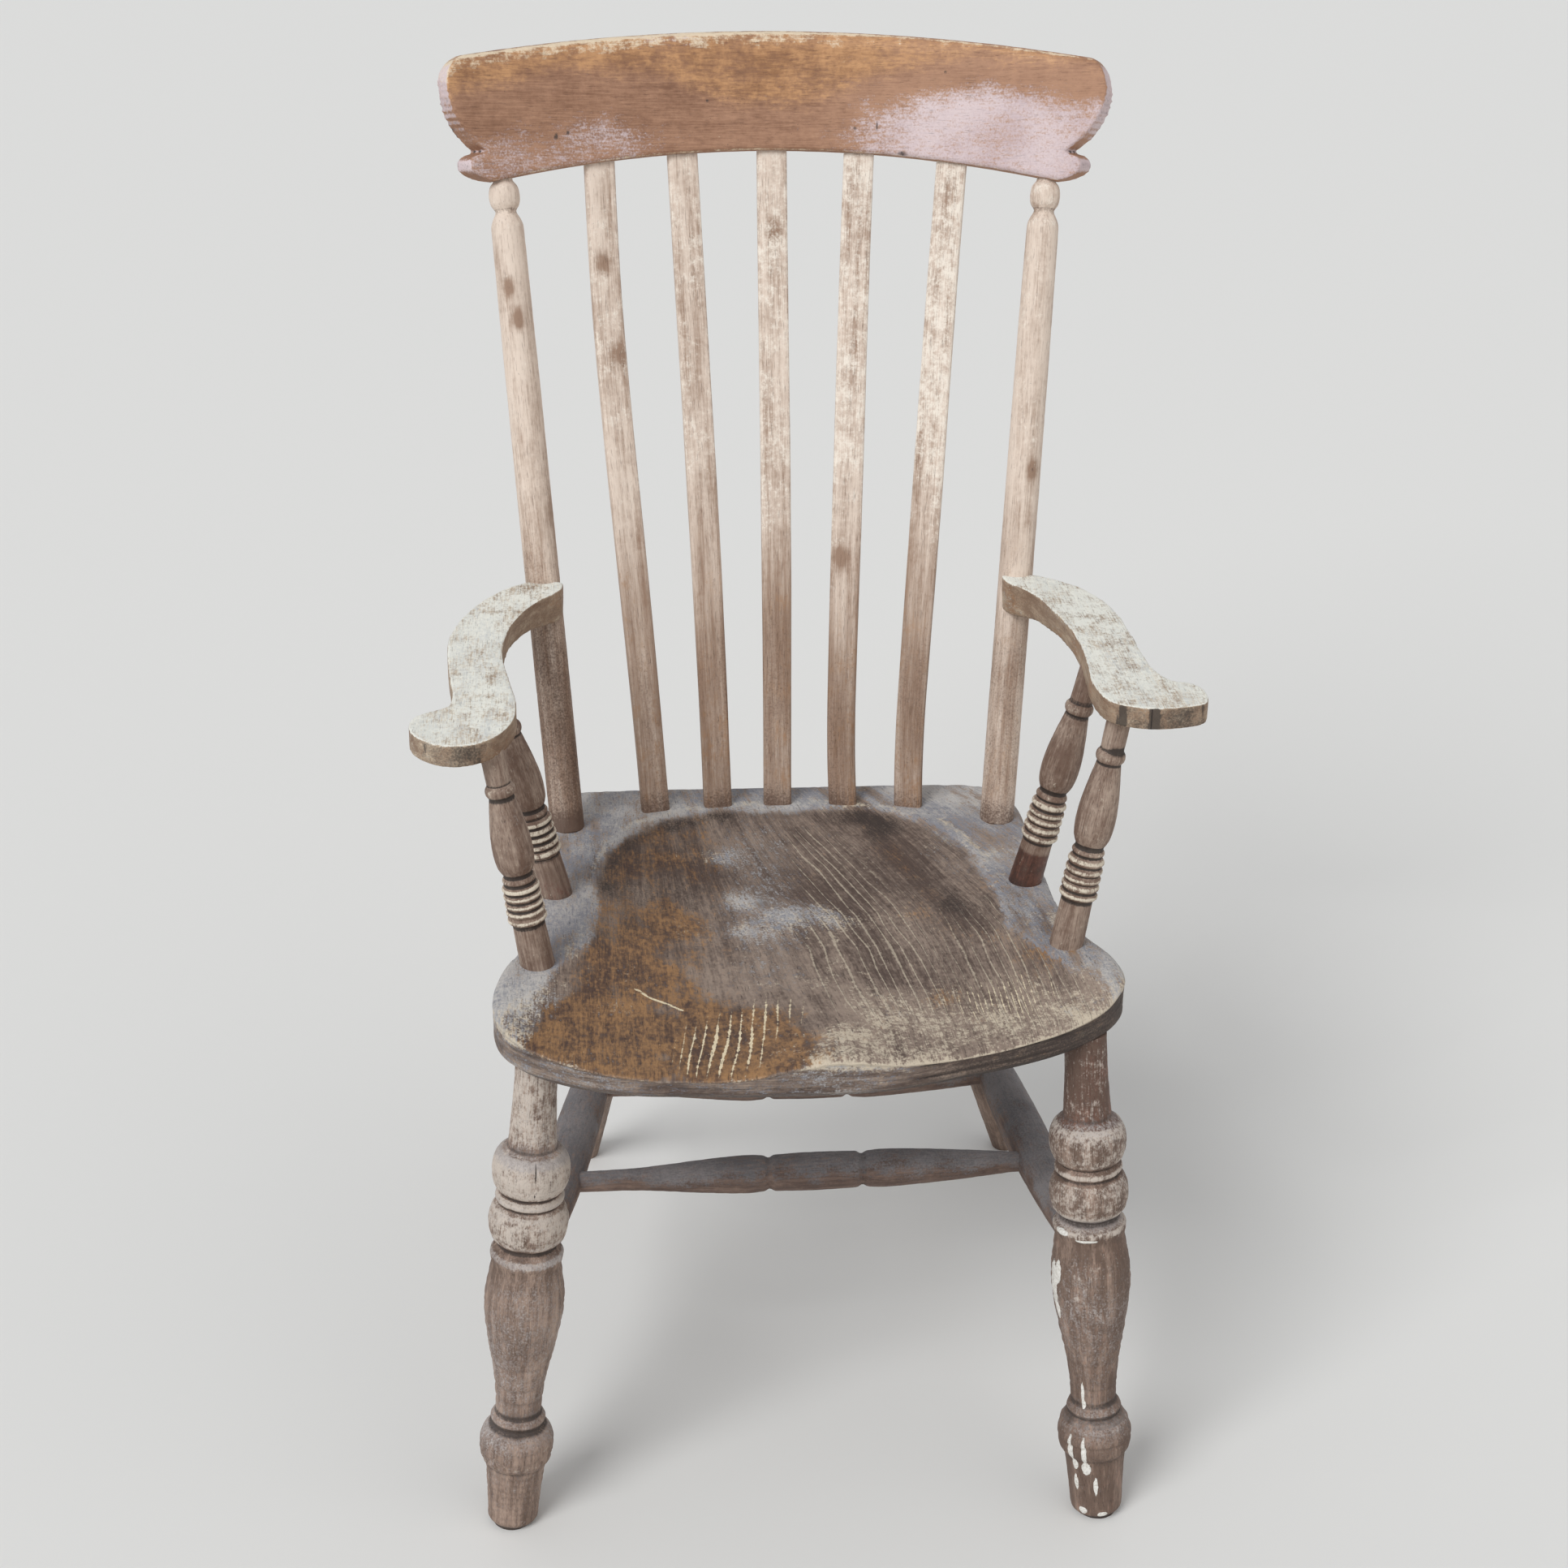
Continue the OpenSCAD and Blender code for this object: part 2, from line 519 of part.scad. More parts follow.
// Plan of each arm from its post: outwards and forwards of the post's middle. The hand turns out.
arm_plan = [
    [[-16, 0], [-16, 26], [8, 60], [24, 102], [30, 142], [29, 175], [23, 215], [18, 250], [19, 280],
     [28, 305], [42, 321], [60, 327], [77, 323], [92, 308], [97, 291], [94, 275], [84, 266], [70, 256],
     [67, 236], [71, 196], [74, 152], [73, 120], [64, 84], [48, 47], [30, 22], [15, 10], [15, 0]],
    [[-14, 0], [-12, 26], [5, 56], [13, 90], [21, 136], [23, 182], [20, 226], [17, 262], [22, 294],
     [34, 307], [59, 314], [90, 308], [99, 298], [101, 278], [94, 264], [80, 256], [71, 234], [69, 204],
     [69, 162], [68, 118], [62, 76], [48, 42], [32, 22], [17, 10], [17, 0]]
];
module arm_board(side) {
    root = arm_root(side);
    reach = 360;
    translate(root) rotate([-arm_slope[side], 0, 0]) intersection() {
        translate([0, 0, -60]) linear_extrude(height = 60)
            polygon([for (q = open_curve(arm_plan[side], 3)) [sgn(side) * q[0], -q[1]]]);
        // Side view of the arm: flat on top, thickening below towards the post
        rotate([90, 0, -90]) translate([0, 0, -far / 2]) linear_extrude(height = far)
            polygon([[-10, 0], [reach, 0], [reach, -arm_t], [110, -arm_t], [65, -arm_t - 0.4 * arm_swell],
                [32, -arm_t - arm_swell], [-10, -arm_t - arm_swell]]);
    }
}
// Plane where the arm's end meets the flat on the post, parallel to the post's lean
module ahead_of_post(side, gap) {
    lean = atan2(post_top_y - post_y, post_end_z - seat_h);
    translate(post_foot(side)) rotate([-lean, 0, 0])
        translate([-far / 2, -far - (post_r - arm_housing) - gap, -far / 2]) cube([far, far, far]);
}
// Space on the post's front that the arm's end fills: up and down by gap, back by rear_gap
module arm_space(side, gap, rear_gap) {
    root = arm_root(side);
    intersection() {
        ahead_of_post(side, -rear_gap);
        translate(root) rotate([-arm_slope[side], 0, 0]) translate([-40, -60, -arm_t - arm_swell - gap])
            cube([80, 80, arm_t + arm_swell + 2 * gap]);
    }
}
module arm(side) color("tan") stand()
    difference() {
        intersection() {
            arm_board(side);
            ahead_of_post(side, 0);
        }
        for (place = [0, 1])
            rod(spindle_foot(side, place), spindle_top(side, place), spindle_length(side, place) - 30,
                spindle_length(side, place) + spindle_arm_l + end_fit, spindle_tenon_r + fit);
        screw_space(side, fit);
    }

// ---- arm spindles ----
// Reach of the spindles' heads outside their feet
spindle_out = [[29.5, 42], [31, 42]];
function spindle_foot(side, place) = let (y = post_y - spindle_ahead[side][place])
    [sgn(side) * (seat_side(side, y) - spindle_inset[side][place]), y, seat_h];
// Height of the arm's underside at depth y
function arm_under(side, y) = let (root = arm_root(side), f = root[1] - y)
    root[2] + f * tan(arm_slope[side]) - arm_t / cos(arm_slope[side]);
function spindle_top(side, place) = let (f = spindle_foot(side, place), y = post_y - spindle_head_ahead[side][place])
    [f[0] + sgn(side) * spindle_out[side][place], y, arm_under(side, y)];
function spindle_length(side, place) = norm(spindle_top(side, place) - spindle_foot(side, place));

// Spindle: plain foot, a stack of rings, a vase, a small ring and a slim neck
rings_n = 5;
function spindle_profile(l) =
    let (z = function(t) t * l, ring_h = 0.185 * l / rings_n)
    concat(
        [[13.4, -8], [13.3, z(0.02)], [12.4, z(0.2)]],
        [for (k = [0:rings_n - 1]) each bead(z(0.21) + k * ring_h, z(0.21) + (k + 0.82) * ring_h,
            13 - 0.2 * k, 2.6, 3)],
        bead(z(0.4), z(0.425), 11.4, 1.8, 3),
        open_curve([[11, z(0.438)], [14.2, z(0.475)], [15.5, z(0.54)], [14.8, z(0.62)], [12.4, z(0.71)],
            [10.4, z(0.77)], [9.6, z(0.795)]], 2),
        bead(z(0.8), z(0.85), 9.2, 2.5, 4),
        [[9.2, z(0.87)], [9.6, l + 10]]);
module spindle(side, place) color("burlywood") stand() {
    foot = spindle_foot(side, place);
    top = spindle_top(side, place);
    l = spindle_length(side, place);
    intersection() {
        along(foot, top) turned(spindle_profile(l));
        translate([-far / 2, -far / 2, seat_h]) cube([far, far, far]);
        under_arm(side);
    }
    rod(foot, top, -spindle_seat_l, 12, spindle_tenon_r);
    rod(foot, top, l - 14, l + spindle_arm_l, spindle_tenon_r);
}
module under_arm(side)
    translate(arm_root(side)) rotate([-arm_slope[side], 0, 0])
        translate([-far / 2, -far / 2, -far - arm_t]) cube([far, far, far]);

// ---- arm screws ----
screw_l = 46;
screw_drop = 14;
// The screw goes in square to the post's back, level with the middle of the arm's end
function screw_dir() = unit([0, -(post_end_z - seat_h), post_top_y - post_y]);
function screw_mid(side) = at_height(post_foot(side), post_top(side), arm_z - screw_drop);
function screw_head(side) = screw_mid(side) - screw_dir() * (post_r - 0.5);
module screw_space(side, gap) {
    rod(screw_head(side), screw_mid(side), 0, screw_l + end_fit, screw_r + gap);
    rod(screw_head(side), screw_mid(side), -20, 0.6 + gap, screw_head_r + gap);
    along(screw_head(side), screw_mid(side)) translate([0, 0, 0.6 + gap])
        cylinder(r1 = screw_head_r + gap, r2 = screw_r + gap, h = screw_head_r - screw_r);
}
module arm_screw(side) color("gray") stand()
    along(screw_head(side), screw_mid(side))
        difference() {
            turned([[screw_head_r, 0], [screw_head_r, 0.6], [screw_r, 0.6 + screw_head_r - screw_r],
                [screw_r, screw_l - 10], [0.4, screw_l]]);
            translate([-screw_head_r - 1, -0.5, -1]) cube([2 * screw_head_r + 2, 1, 2.4]);
        }

// ---- origin ----
crest_rear_y = crest_mid_y + crest_h * sin(crest_lean) + crest_t / 2;
mid_y = (seat_front + crest_rear_y) / 2;

seat();
front_leg(left);  // front_leg_left
front_leg(right);  // front_leg_right
rear_leg(left);  // rear_leg_left
rear_leg(right);  // rear_leg_right
side_stretcher(left);  // side_stretcher_left
side_stretcher(right);  // side_stretcher_right
cross_stretcher(0);  // front_cross_stretcher
cross_stretcher(1);  // rear_cross_stretcher
back_post(left);  // back_post_left
back_post(right);  // back_post_right
lath(0);  // lath_1
lath(1);  // lath_2
lath(2);  // lath_3
lath(3);  // lath_4
lath(4);  // lath_5
crest_rail();
arm(left);  // arm_left
arm(right);  // arm_right
spindle(left, 0);  // front_arm_spindle_left
spindle(right, 0);  // front_arm_spindle_right
spindle(left, 1);  // rear_arm_spindle_left
spindle(right, 1);  // rear_arm_spindle_right
arm_screw(left);  // arm_screw_left
arm_screw(right);  // arm_screw_right
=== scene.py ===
import math

import bmesh
import bpy
from mathutils import Matrix, Vector, noise


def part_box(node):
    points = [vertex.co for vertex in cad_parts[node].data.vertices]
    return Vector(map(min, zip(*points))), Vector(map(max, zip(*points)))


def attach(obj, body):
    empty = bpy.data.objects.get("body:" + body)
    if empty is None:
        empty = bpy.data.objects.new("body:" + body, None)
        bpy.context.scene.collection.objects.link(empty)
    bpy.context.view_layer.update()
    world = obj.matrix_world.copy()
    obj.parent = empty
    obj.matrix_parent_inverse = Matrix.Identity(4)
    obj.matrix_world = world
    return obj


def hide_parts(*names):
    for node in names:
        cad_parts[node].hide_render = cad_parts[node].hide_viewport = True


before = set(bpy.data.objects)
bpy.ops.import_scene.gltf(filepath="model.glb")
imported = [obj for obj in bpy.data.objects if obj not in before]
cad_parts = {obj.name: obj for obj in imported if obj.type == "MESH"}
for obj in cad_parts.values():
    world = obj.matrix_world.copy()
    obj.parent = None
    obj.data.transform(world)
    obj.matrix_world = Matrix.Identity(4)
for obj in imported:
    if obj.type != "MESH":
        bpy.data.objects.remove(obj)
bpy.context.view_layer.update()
mm = 0.001
print("frame loaded:", len(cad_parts), "nodes")

# ---- small sums used by every piece


def clamp(value, low=0.0, high=1.0):
    return max(low, min(high, value))


def ease(value, low, high):
    t = clamp((value - low) / (high - low))
    return t * t * (3 - 2 * t)


def bell(distance, width):
    return math.exp(-((distance / width) ** 2))


def blob(x, y, at, size):
    # 1 in the middle of a soft patch in the plane, fading away from it
    return bell(math.hypot((x - at[0]) / size[0], (y - at[1]) / size[1]), 1)


def hills(point, scale, seed=0.0):
    # soft noise from -1 to 1; scale is in hills per metre, one number or one for each axis
    x, y, z = (scale,) * 3 if isinstance(scale, (int, float)) else scale
    return noise.noise(Vector((point.x * x + seed, point.y * y - seed, point.z * z + 0.7 * seed)))


def ragged(point, scale, seed=0.0):
    # broken noise in four layers
    return sum(hills(point, scale * 2**i, seed + 9 * i) / 2**i for i in range(4)) / 1.6


def between(stops, place):
    # straight lines through a list of (place, value)
    for (a, low), (b, high) in zip(stops, stops[1:]):
        if place <= b:
            return low + (high - low) * clamp((place - a) / max(b - a, 1e-9))
    return stops[-1][1]


def nearLine(x, y, a, b):
    # distance from a point to a straight stroke, in the plane
    dx, dy = b[0] - a[0], b[1] - a[1]
    t = clamp(((x - a[0]) * dx + (y - a[1]) * dy) / (dx * dx + dy * dy))
    return math.hypot(x - a[0] - t * dx, y - a[1] - t * dy)


# ---- reading shapes from the frame


def mergedCopy(node):
    made = bmesh.new()
    made.from_mesh(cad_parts[node].data)
    bmesh.ops.remove_doubles(made, verts=made.verts, dist=1e-6)
    return made


def cutThrough(node, origin, normal):
    # a node's merged copy with a level cut in it, and the vertices and edges of the cut
    made = mergedCopy(node)
    parts = made.verts[:] + made.edges[:] + made.faces[:]
    cut = bmesh.ops.bisect_plane(made, geom=parts, plane_co=origin, plane_no=normal)["geom_cut"]
    return made, cut


def middleOf(points):
    return Vector([(min(p[i] for p in points) + max(p[i] for p in points)) / 2 for i in range(3)])


def cutMiddle(node, along, share):
    low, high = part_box(node)
    normal = Vector([1.0 if i == along else 0.0 for i in range(3)])
    made, cut = cutThrough(node, low.lerp(high, share), normal)
    middle = middleOf([v.co for v in cut if isinstance(v, bmesh.types.BMVert)])
    made.free()
    return middle


def outerLoop(cut):
    # the points of the longest of a cut's closed loops, in order
    edges = {part for part in cut if isinstance(part, bmesh.types.BMEdge)}
    loops = []
    while edges:
        edge = edges.pop()
        start, here = edge.verts
        loop, length = [start.co.copy()], edge.calc_length()
        while here != start:
            loop.append(here.co.copy())
            edge = next((e for e in here.link_edges if e in edges), None)
            if edge is None:
                break
            edges.remove(edge)
            length += edge.calc_length()
            here = edge.other_vert(here)
        loops.append((length, loop))
    return max(loops, key=lambda found: found[0])[1]


# ---- shader nodes: Wire lets their maths be written as sums


class Wire:
    def __init__(self, tree, socket):
        self.tree = tree
        self.socket = socket

    def maths(self, operation, *values):
        return self.tree.node("ShaderNodeMath", {"operation": operation}, dict(enumerate(values)))

    def __add__(self, other):
        return self.maths("ADD", self, other)

    def __radd__(self, other):
        return self.maths("ADD", other, self)

    def __sub__(self, other):
        return self.maths("SUBTRACT", self, other)

    def __rsub__(self, other):
        return self.maths("SUBTRACT", other, self)

    def __mul__(self, other):
        return self.maths("MULTIPLY", self, other)

    def __rmul__(self, other):
        return self.maths("MULTIPLY", other, self)

    def wave(self):
        # back and forth between 0 and 1
        return self.maths("PINGPONG", self, 1.0)

    def step(self, low, high):
        # 0 below low and 1 above high, smooth between
        settings = {"interpolation_type": "SMOOTHSTEP"}
        sockets = {"Value": self, "From Min": low, "From Max": high}
        return self.tree.node("ShaderNodeMapRange", settings, sockets)


class Tree:
    def __init__(self, owner):
        self.owner = owner
        owner.use_nodes = True
        self.nodes = owner.node_tree.nodes
        self.links = owner.node_tree.links
        self.nodes.clear()

    def node(self, kind, settings=None, sockets=None, output=0):
        made = self.nodes.new(kind)
        for key, value in (settings or {}).items():
            if key == "stops":
                for place, colour in value[2:]:
                    made.color_ramp.elements.new(place)
                for element, (place, colour) in zip(made.color_ramp.elements, value):
                    element.position = place
                    element.color = colour
            else:
                setattr(made, key, value)
        for key, value in (sockets or {}).items():
            if isinstance(value, Wire):
                self.links.new(value.socket, made.inputs[key])
            else:
                made.inputs[key].default_value = value
        return Wire(self, made.outputs[output]) if made.outputs else None

    def finish(self, shader, kind="Material"):
        self.node("ShaderNodeOutput" + kind, {}, {"Surface": shader})

    def field(self, name):
        return self.node("ShaderNodeAttribute", {"attribute_name": name}, {}, "Fac")

    def noise(self, vector, stretch, detail=2.0, roughness=0.5):
        # noise on coordinates in metres; stretch is in grains per metre along each axis
        spread = self.node("ShaderNodeMapping", {}, {"Vector": vector, "Scale": stretch})
        sockets = {"Vector": spread, "Scale": 1.0, "Detail": detail, "Roughness": roughness}
        return self.node("ShaderNodeTexNoise", {}, sockets, 0)

    def mix(self, factor, a, b):
        # colour a where the factor is 0 and b where it is 1
        return self.node("ShaderNodeMix", {"data_type": "RGBA"}, {0: factor, 6: a, 7: b}, 2)


def ink(red, green, blue):
    # a colour as a screen shows it, 0 to 255, for a shader
    shares = [value / 255 for value in (red, green, blue)]
    line = [s / 12.92 if s <= 0.04045 else ((s + 0.055) / 1.055) ** 2.4 for s in shares]
    return (*line, 1.0)


def woodMaterial(name, look):
    tree = Tree(bpy.data.materials.new(name))
    grain = tree.node("ShaderNodeAttribute", {"attribute_name": "grain"}, {}, "Vector")
    place = tree.node("ShaderNodeTexCoord", {}, {}, "Object")
    grit = look["grit"]
    fibre = tree.noise(grain, (1100, 1100, 45), 3)
    streak = tree.noise(grain, (190, 190, 7), 4, 0.6)
    band = tree.noise(grain, (45, 45, 2.2), 2)
    fleck = tree.noise(grain, (520, 520, 90), 3, 0.6)
    across = tree.node("ShaderNodeSeparateXYZ", {}, {"Vector": grain}, "X")
    along = tree.node("ShaderNodeSeparateXYZ", {}, {"Vector": grain}, "Z")
    waver = tree.noise(grain, (40, 40, 6), 2)
    broken = tree.noise(grain, (150, 150, 16), 2)
    blotch = tree.noise(place, (38, 38, 38), 5, 0.65)
    cloud = tree.noise(place, (13, 13, 13), 3)
    speck = tree.noise(place, (620, 620, 620), 3, 0.6)
    crumb = tree.noise(place, (250, 250, 250), 4, 0.6)
    pore = tree.noise(grain, (1500, 1500, 95), 2).step(0.62, 0.72)
    tone = tree.field("tone")
    torn = (fleck - 0.5) * 1.7 + (crumb - 0.5) * 1.3
    peeling = (crumb - 0.5) * 1.4 - (fleck - 0.5) * 1.1 + (speck - 0.5) * 1.2

    stripe = look["stripe"]
    figure = streak * (0.6 * stripe) + fibre * 0.3 + blotch * 0.3 + band * (0.3 * stripe) + tone * 0.3
    figure = figure + torn * (0.25 * grit) - 0.25 + 0.45 * (1 - stripe)
    wood = tree.mix(figure.step(0.3, 0.72), look["dark"], look["pale"])
    depth = streak * (0.45 * stripe) + blotch * 0.6 + tone * 0.2 + torn * (0.35 * grit)
    depth = depth + 0.22 * (1 - stripe)
    lacquer = tree.mix(depth.step(0.36, 0.74), look["deep"], look["varnish"])
    varnished = (tree.field("varnish") + torn * (0.6 * grit) + (blotch - 0.5) * 0.6).step(0.24, 0.76)
    colour = tree.mix(varnished * 0.95, wood, lacquer)

    rubbed = (tree.field("wear") + peeling * (0.7 * grit) + (blotch - 0.5) * 0.6 + (fibre - 0.5) * 0.4)
    rubbed = rubbed.step(0.42, 0.78)
    colour = tree.mix(rubbed * 0.85, colour, look["bare"])
    # dust layer: real dust, and a painted cool highlight on seat rims and turned rings
    dustAndSheenMask = tree.field("dust") + (cloud - 0.5) * 0.5 - torn * (0.75 * grit) + (speck - 0.5) * 0.8
    dustAndSheenMask = dustAndSheenMask.step(0.28, 0.85)
    warmer = (cloud + torn * (0.35 * grit) + (speck - 0.5) * 0.4).step(0.3, 0.7)
    dust = tree.mix(warmer, look["dustCool"], look["dust"])
    colour = tree.mix(dustAndSheenMask * 0.85, colour, dust)
    ridged = 1 - (across * 265 + waver * 5).wave() * 3.8 + (crumb - 0.5) * 1.8 + (broken - 0.5) * 1.0
    ridged = (ridged * tree.field("ridge")).step(0.3, 0.85)
    strokes = 1 - (across * 500 - along * 45 + waver * 3).wave() * 2.6
    strokes = strokes + (crumb - 0.5) * 2.4 + (broken - 0.5) * 1.3
    strokes = (strokes * tree.field("straw")).step(0.4, 0.8)
    scored = (tree.field("scratch") + (crumb - 0.5) * 0.5).step(0.6, 0.72)
    colour = tree.mix(ridged * 0.5, colour, look["bare"])
    colour = tree.mix(strokes.maths("MAXIMUM", strokes, scored) * 0.85, colour, look["scratch"])
    # grime layer: real dirt, and painted shade in hollows, grooves, undersides and under the arms
    grimeAndShadeMask = (tree.field("grime") + (speck - 0.5) * 0.6 + peeling * (0.25 * grit)).step(0.36, 0.85)
    colour = tree.mix(grimeAndShadeMask * 0.88, colour, look["grime"])
    colour = tree.mix(pore * look["pores"], colour, look["grime"])
    flies = speck.step(0.66, 0.72) * blotch.step(0.45, 0.6)
    colour = tree.mix(flies * 0.6, colour, look["grime"])
    split = (tree.field("crack") + (speck - 0.5) * 0.12).step(0.8, 0.9)
    colour = tree.mix(split * 0.95, colour, look["crack"])
    painted = (tree.field("paint") + (speck - 0.5) * 0.35 + (crumb - 0.5) * 0.3).step(0.42, 0.5)
    colour = tree.mix(painted, colour, tree.mix(speck.step(0.35, 0.7), look["paint"], look["paintDull"]))

    rough = 0.74 - varnished * look["gloss"] + rubbed * 0.08 + dustAndSheenMask * 0.12 + (fibre - 0.5) * 0.12
    rough = rough - painted * 0.25
    height = fibre * 0.3 + streak * 0.3 + speck * 0.2 + crumb * (0.7 * grit) - pore * 0.45 - split * 1.6
    height = height + painted * 0.7 - scored * 0.3 - strokes * 0.3 + ridged * 0.6 - grimeAndShadeMask * 0.3
    height = height + varnished * (0.3 * grit)
    bump = tree.node("ShaderNodeBump", {}, {"Strength": look["relief"], "Distance": 0.0008, "Height": height})
    sockets = {"Base Color": colour, "Roughness": rough, "Normal": bump}
    tree.finish(tree.node("ShaderNodeBsdfPrincipled", {}, sockets, "BSDF"))
    return tree.owner


# ---- finished pieces: a mesh, its wear, dirt, painted shade and painted highlights on its vertices, its material and its body

# grime also carries painted shade, and dust a painted highlight
fieldNames = ("wear", "grime", "dust", "varnish", "paint", "crack", "scratch", "ridge", "straw", "tone")


class Marks:
    # what each vertex carries: its place in the grain, how worn or dirty it is, and its painted shade and
    # highlights
    def __init__(self):
        self.grain = []
        self.fields = {name: [] for name in fieldNames}

    def add(self, grain, values):
        self.grain.append(grain)
        for name, kept in self.fields.items():
            kept.append(values.get(name, 0.0))


def finishPiece(made, name, slot, marks):
    mesh = bpy.data.meshes.new(name)
    made.to_mesh(mesh)
    made.free()
    for face in mesh.polygons:
        face.use_smooth = True
    along = mesh.attributes.new("grain", "FLOAT_VECTOR", "POINT")
    along.data.foreach_set("vector", [value for point in marks.grain for value in point])
    for field, values in marks.fields.items():
        mesh.attributes.new(field, "FLOAT", "POINT").data.foreach_set("value", values)
    mesh.materials.append(woods[slot])
    piece = bpy.data.objects.new(name + "_worn", mesh)
    bpy.context.scene.collection.objects.link(piece)
    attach(piece, "root")
    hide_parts(name)
    print("made", name, len(mesh.polygons), "faces")
    return piece


def soften(values, times):
    # blurs a row of numbers, leaving its ends
    for _ in range(times):
        inner = [(a + 2 * b + c) / 4 for a, b, c in zip(values, values[1:], values[2:])]
        values = [values[0], *inner, values[-1]]
    return values


# ---- turned pieces


def turningPlace(node, settings):
    # the axis is +Z, its zero is at the given level, and -Y is the side that counts as the front
    run = settings["run"]
    a, b = (cutMiddle(node, run, share) for share in settings["cuts"])
    up = (b - a).normalized()
    front = Vector(settings["front"])
    back = (up * up.dot(front) - front).normalized()
    place = Matrix((back.cross(up), back, up)).transposed().to_4x4()
    place.translation = a + up * ((settings["level"] - a[run]) / up[run])
    return place


def ringsOf(node, toPiece):
    # (height, radius) wherever a turned piece has most of a ring
    step, found = 0.25 * mm, {}
    made = mergedCopy(node)
    for vertex in made.verts:
        spot = toPiece @ vertex.co
        eighth = int(math.atan2(spot.y, spot.x) / math.tau * 8 + 8) % 8
        for key in {math.floor(spot.z / step), math.ceil(spot.z / step)}:
            ring = found.setdefault(key, [set(), 0.0])
            ring[0].add(eighth)
            ring[1] = max(ring[1], spot.xy.length)
    made.free()
    return sorted((key * step, ring[1]) for key, ring in found.items() if len(ring[0]) >= 5)


def turnedPiece(node, slot, settings, story):
    # story(height, angle, proud, spot, values) adds a piece's own marks to the values and gives
    # what they add to the radius. Angle 0 is its front, and 90 is towards +X on an upright piece.
    place = turningPlace(node, settings)
    toPiece = place.inverted()
    rings = ringsOf(node, toPiece)
    last = rings[-1][0] - settings["tenon"]
    foot = settings["foot"] or rings[:1]
    rings = foot + [ring for ring in rings if foot[-1][0] < ring[0] <= last - settings["clear"]]
    first = foot[0][0]
    count = round((last - first) / settings["step"])
    heights = [first + (last - first) * k / count for k in range(count + 1)]
    radii = soften([between(rings, height) for height in heights], settings["soft"])
    around = soften(radii, round(2 * (4.5 * mm / settings["step"]) ** 2))

    made = bmesh.new()
    row = [made.verts.new((radius, 0, height)) for radius, height in zip(radii, heights)]
    edges = [made.edges.new(pair) for pair in zip(row, row[1:])]
    bmesh.ops.spin(
        made, geom=row + edges, cent=(0, 0, 0), axis=(0, 0, 1), angle=math.tau,
        steps=settings["turns"], use_merge=True,
    )
    bmesh.ops.holes_fill(made, edges=made.edges, sides=0)
    if settings.get("standing"):
        parts = made.verts[:] + made.edges[:] + made.faces[:]
        cut = bmesh.ops.bisect_plane(
            made, geom=parts, plane_co=(0, 0, 0), plane_no=toPiece.to_3x3() @ Vector((0, 0, 1)),
            clear_inner=True,
        )["geom_cut"]
        bmesh.ops.contextual_create(made, geom=[e for e in cut if isinstance(e, bmesh.types.BMEdge)])
    bmesh.ops.recalc_face_normals(made, faces=made.faces)

    marks, seed = Marks(), settings["seed"]
    for vertex in made.verts:
        spot = vertex.co.copy()
        index = min(int(clamp((spot.z - first) / (last - first)) * count), count - 1)
        radius = max(spot.xy.length, 1e-6)
        proud = (radii[index] - around[index]) / mm
        slope = (around[index] - around[index + 1]) / settings["step"]
        angle = math.degrees(math.atan2(spot.x, -spot.y))
        rough = ragged(Vector((spot.x, spot.y, spot.z * 0.22)), 70, seed)
        flake = ragged(spot, 130, seed + 3)
        values = {
            "wear": settings["rubbed"] + 0.22 * proud + 0.2 * flake,
            # grime, partly painted shade: the sunk parts of a turning darker
            "grime": 0.05 - 0.34 * proud - 0.12 * rough,
            # dust, partly a painted highlight: the up-facing ledges paler
            "dust": 0.1 + 0.4 * clamp(slope),
            "tone": settings["tone"] + 0.5 * rough,
        }
        grown = settings["wobble"] * rough + settings["flake"] * min(flake, 0.15)
        grown += story(spot.z / mm, angle, proud, spot, values) * mm
        marks.add((spot.x + seed, spot.y, spot.z), values)
        onFloor = (place @ spot).z < 0.01 * mm
        if radius > 1 * mm:
            spot.xy = spot.xy * ((radius + grown) / radius)
        vertex.co = place @ spot
        if onFloor and settings.get("standing"):
            vertex.co.z = 0
    return finishPiece(made, node, slot, marks)


def patch(angle, height, radius, at, size):
    # 1 in the middle of a patch on a turned piece and 0 at its edge; at is angle and height
    turn = (angle - at[0] + 180) % 360 - 180
    return 1 - math.hypot(math.radians(turn) * radius / size[0], (height - at[1]) / size[1])


upright = {"run": 2, "front": (0, -1, 0), "level": 450 * mm}
standing = upright | {"level": 0, "standing": True, "tenon": 19 * mm, "clear": 7 * mm}
lying = {"front": (0, 0, 1), "level": 0, "tenon": 0, "clear": 0, "foot": []}

legs = {
    "front": standing | {
        "cuts": (0.13, 0.9), "foot": [(-8 * mm, 15.2 * mm), (0, 15.7 * mm)], "step": 1.25 * mm,
        "soft": 1, "turns": 108, "wobble": 0.35 * mm, "flake": 0.5 * mm, "tone": -0.1, "rubbed": 0.24,
    },
    "rear": standing | {
        "cuts": (0.15, 0.85), "foot": [(-10 * mm, 12 * mm), (0, 12.3 * mm)], "step": 2 * mm,
        "soft": 2, "turns": 64, "wobble": 0.45 * mm, "flake": 0.3 * mm, "tone": -0.1, "rubbed": 0.25,
    },
    # paint on the right front leg: angle, height, width and length
    "drips": [
        (-52, 66, 2.4, 17), (-50, 52, 3.2, 6), (-28, 66, 2.2, 17), (-27, 50, 4.6, 7), (-52, 34, 2.6, 9),
        (-9, 33, 2.4, 10), (-37, 116, 2.0, 12), (-35, 106, 2.8, 5), (-80, 212, 5.5, 24), (-74, 190, 4, 9),
        (-60, 262, 7, 3), (-66, 226, 3, 12), (-15, 258, 10, 1.2), (-40, 8, 5, 4), (5, 5, 6, 3),
    ],
}


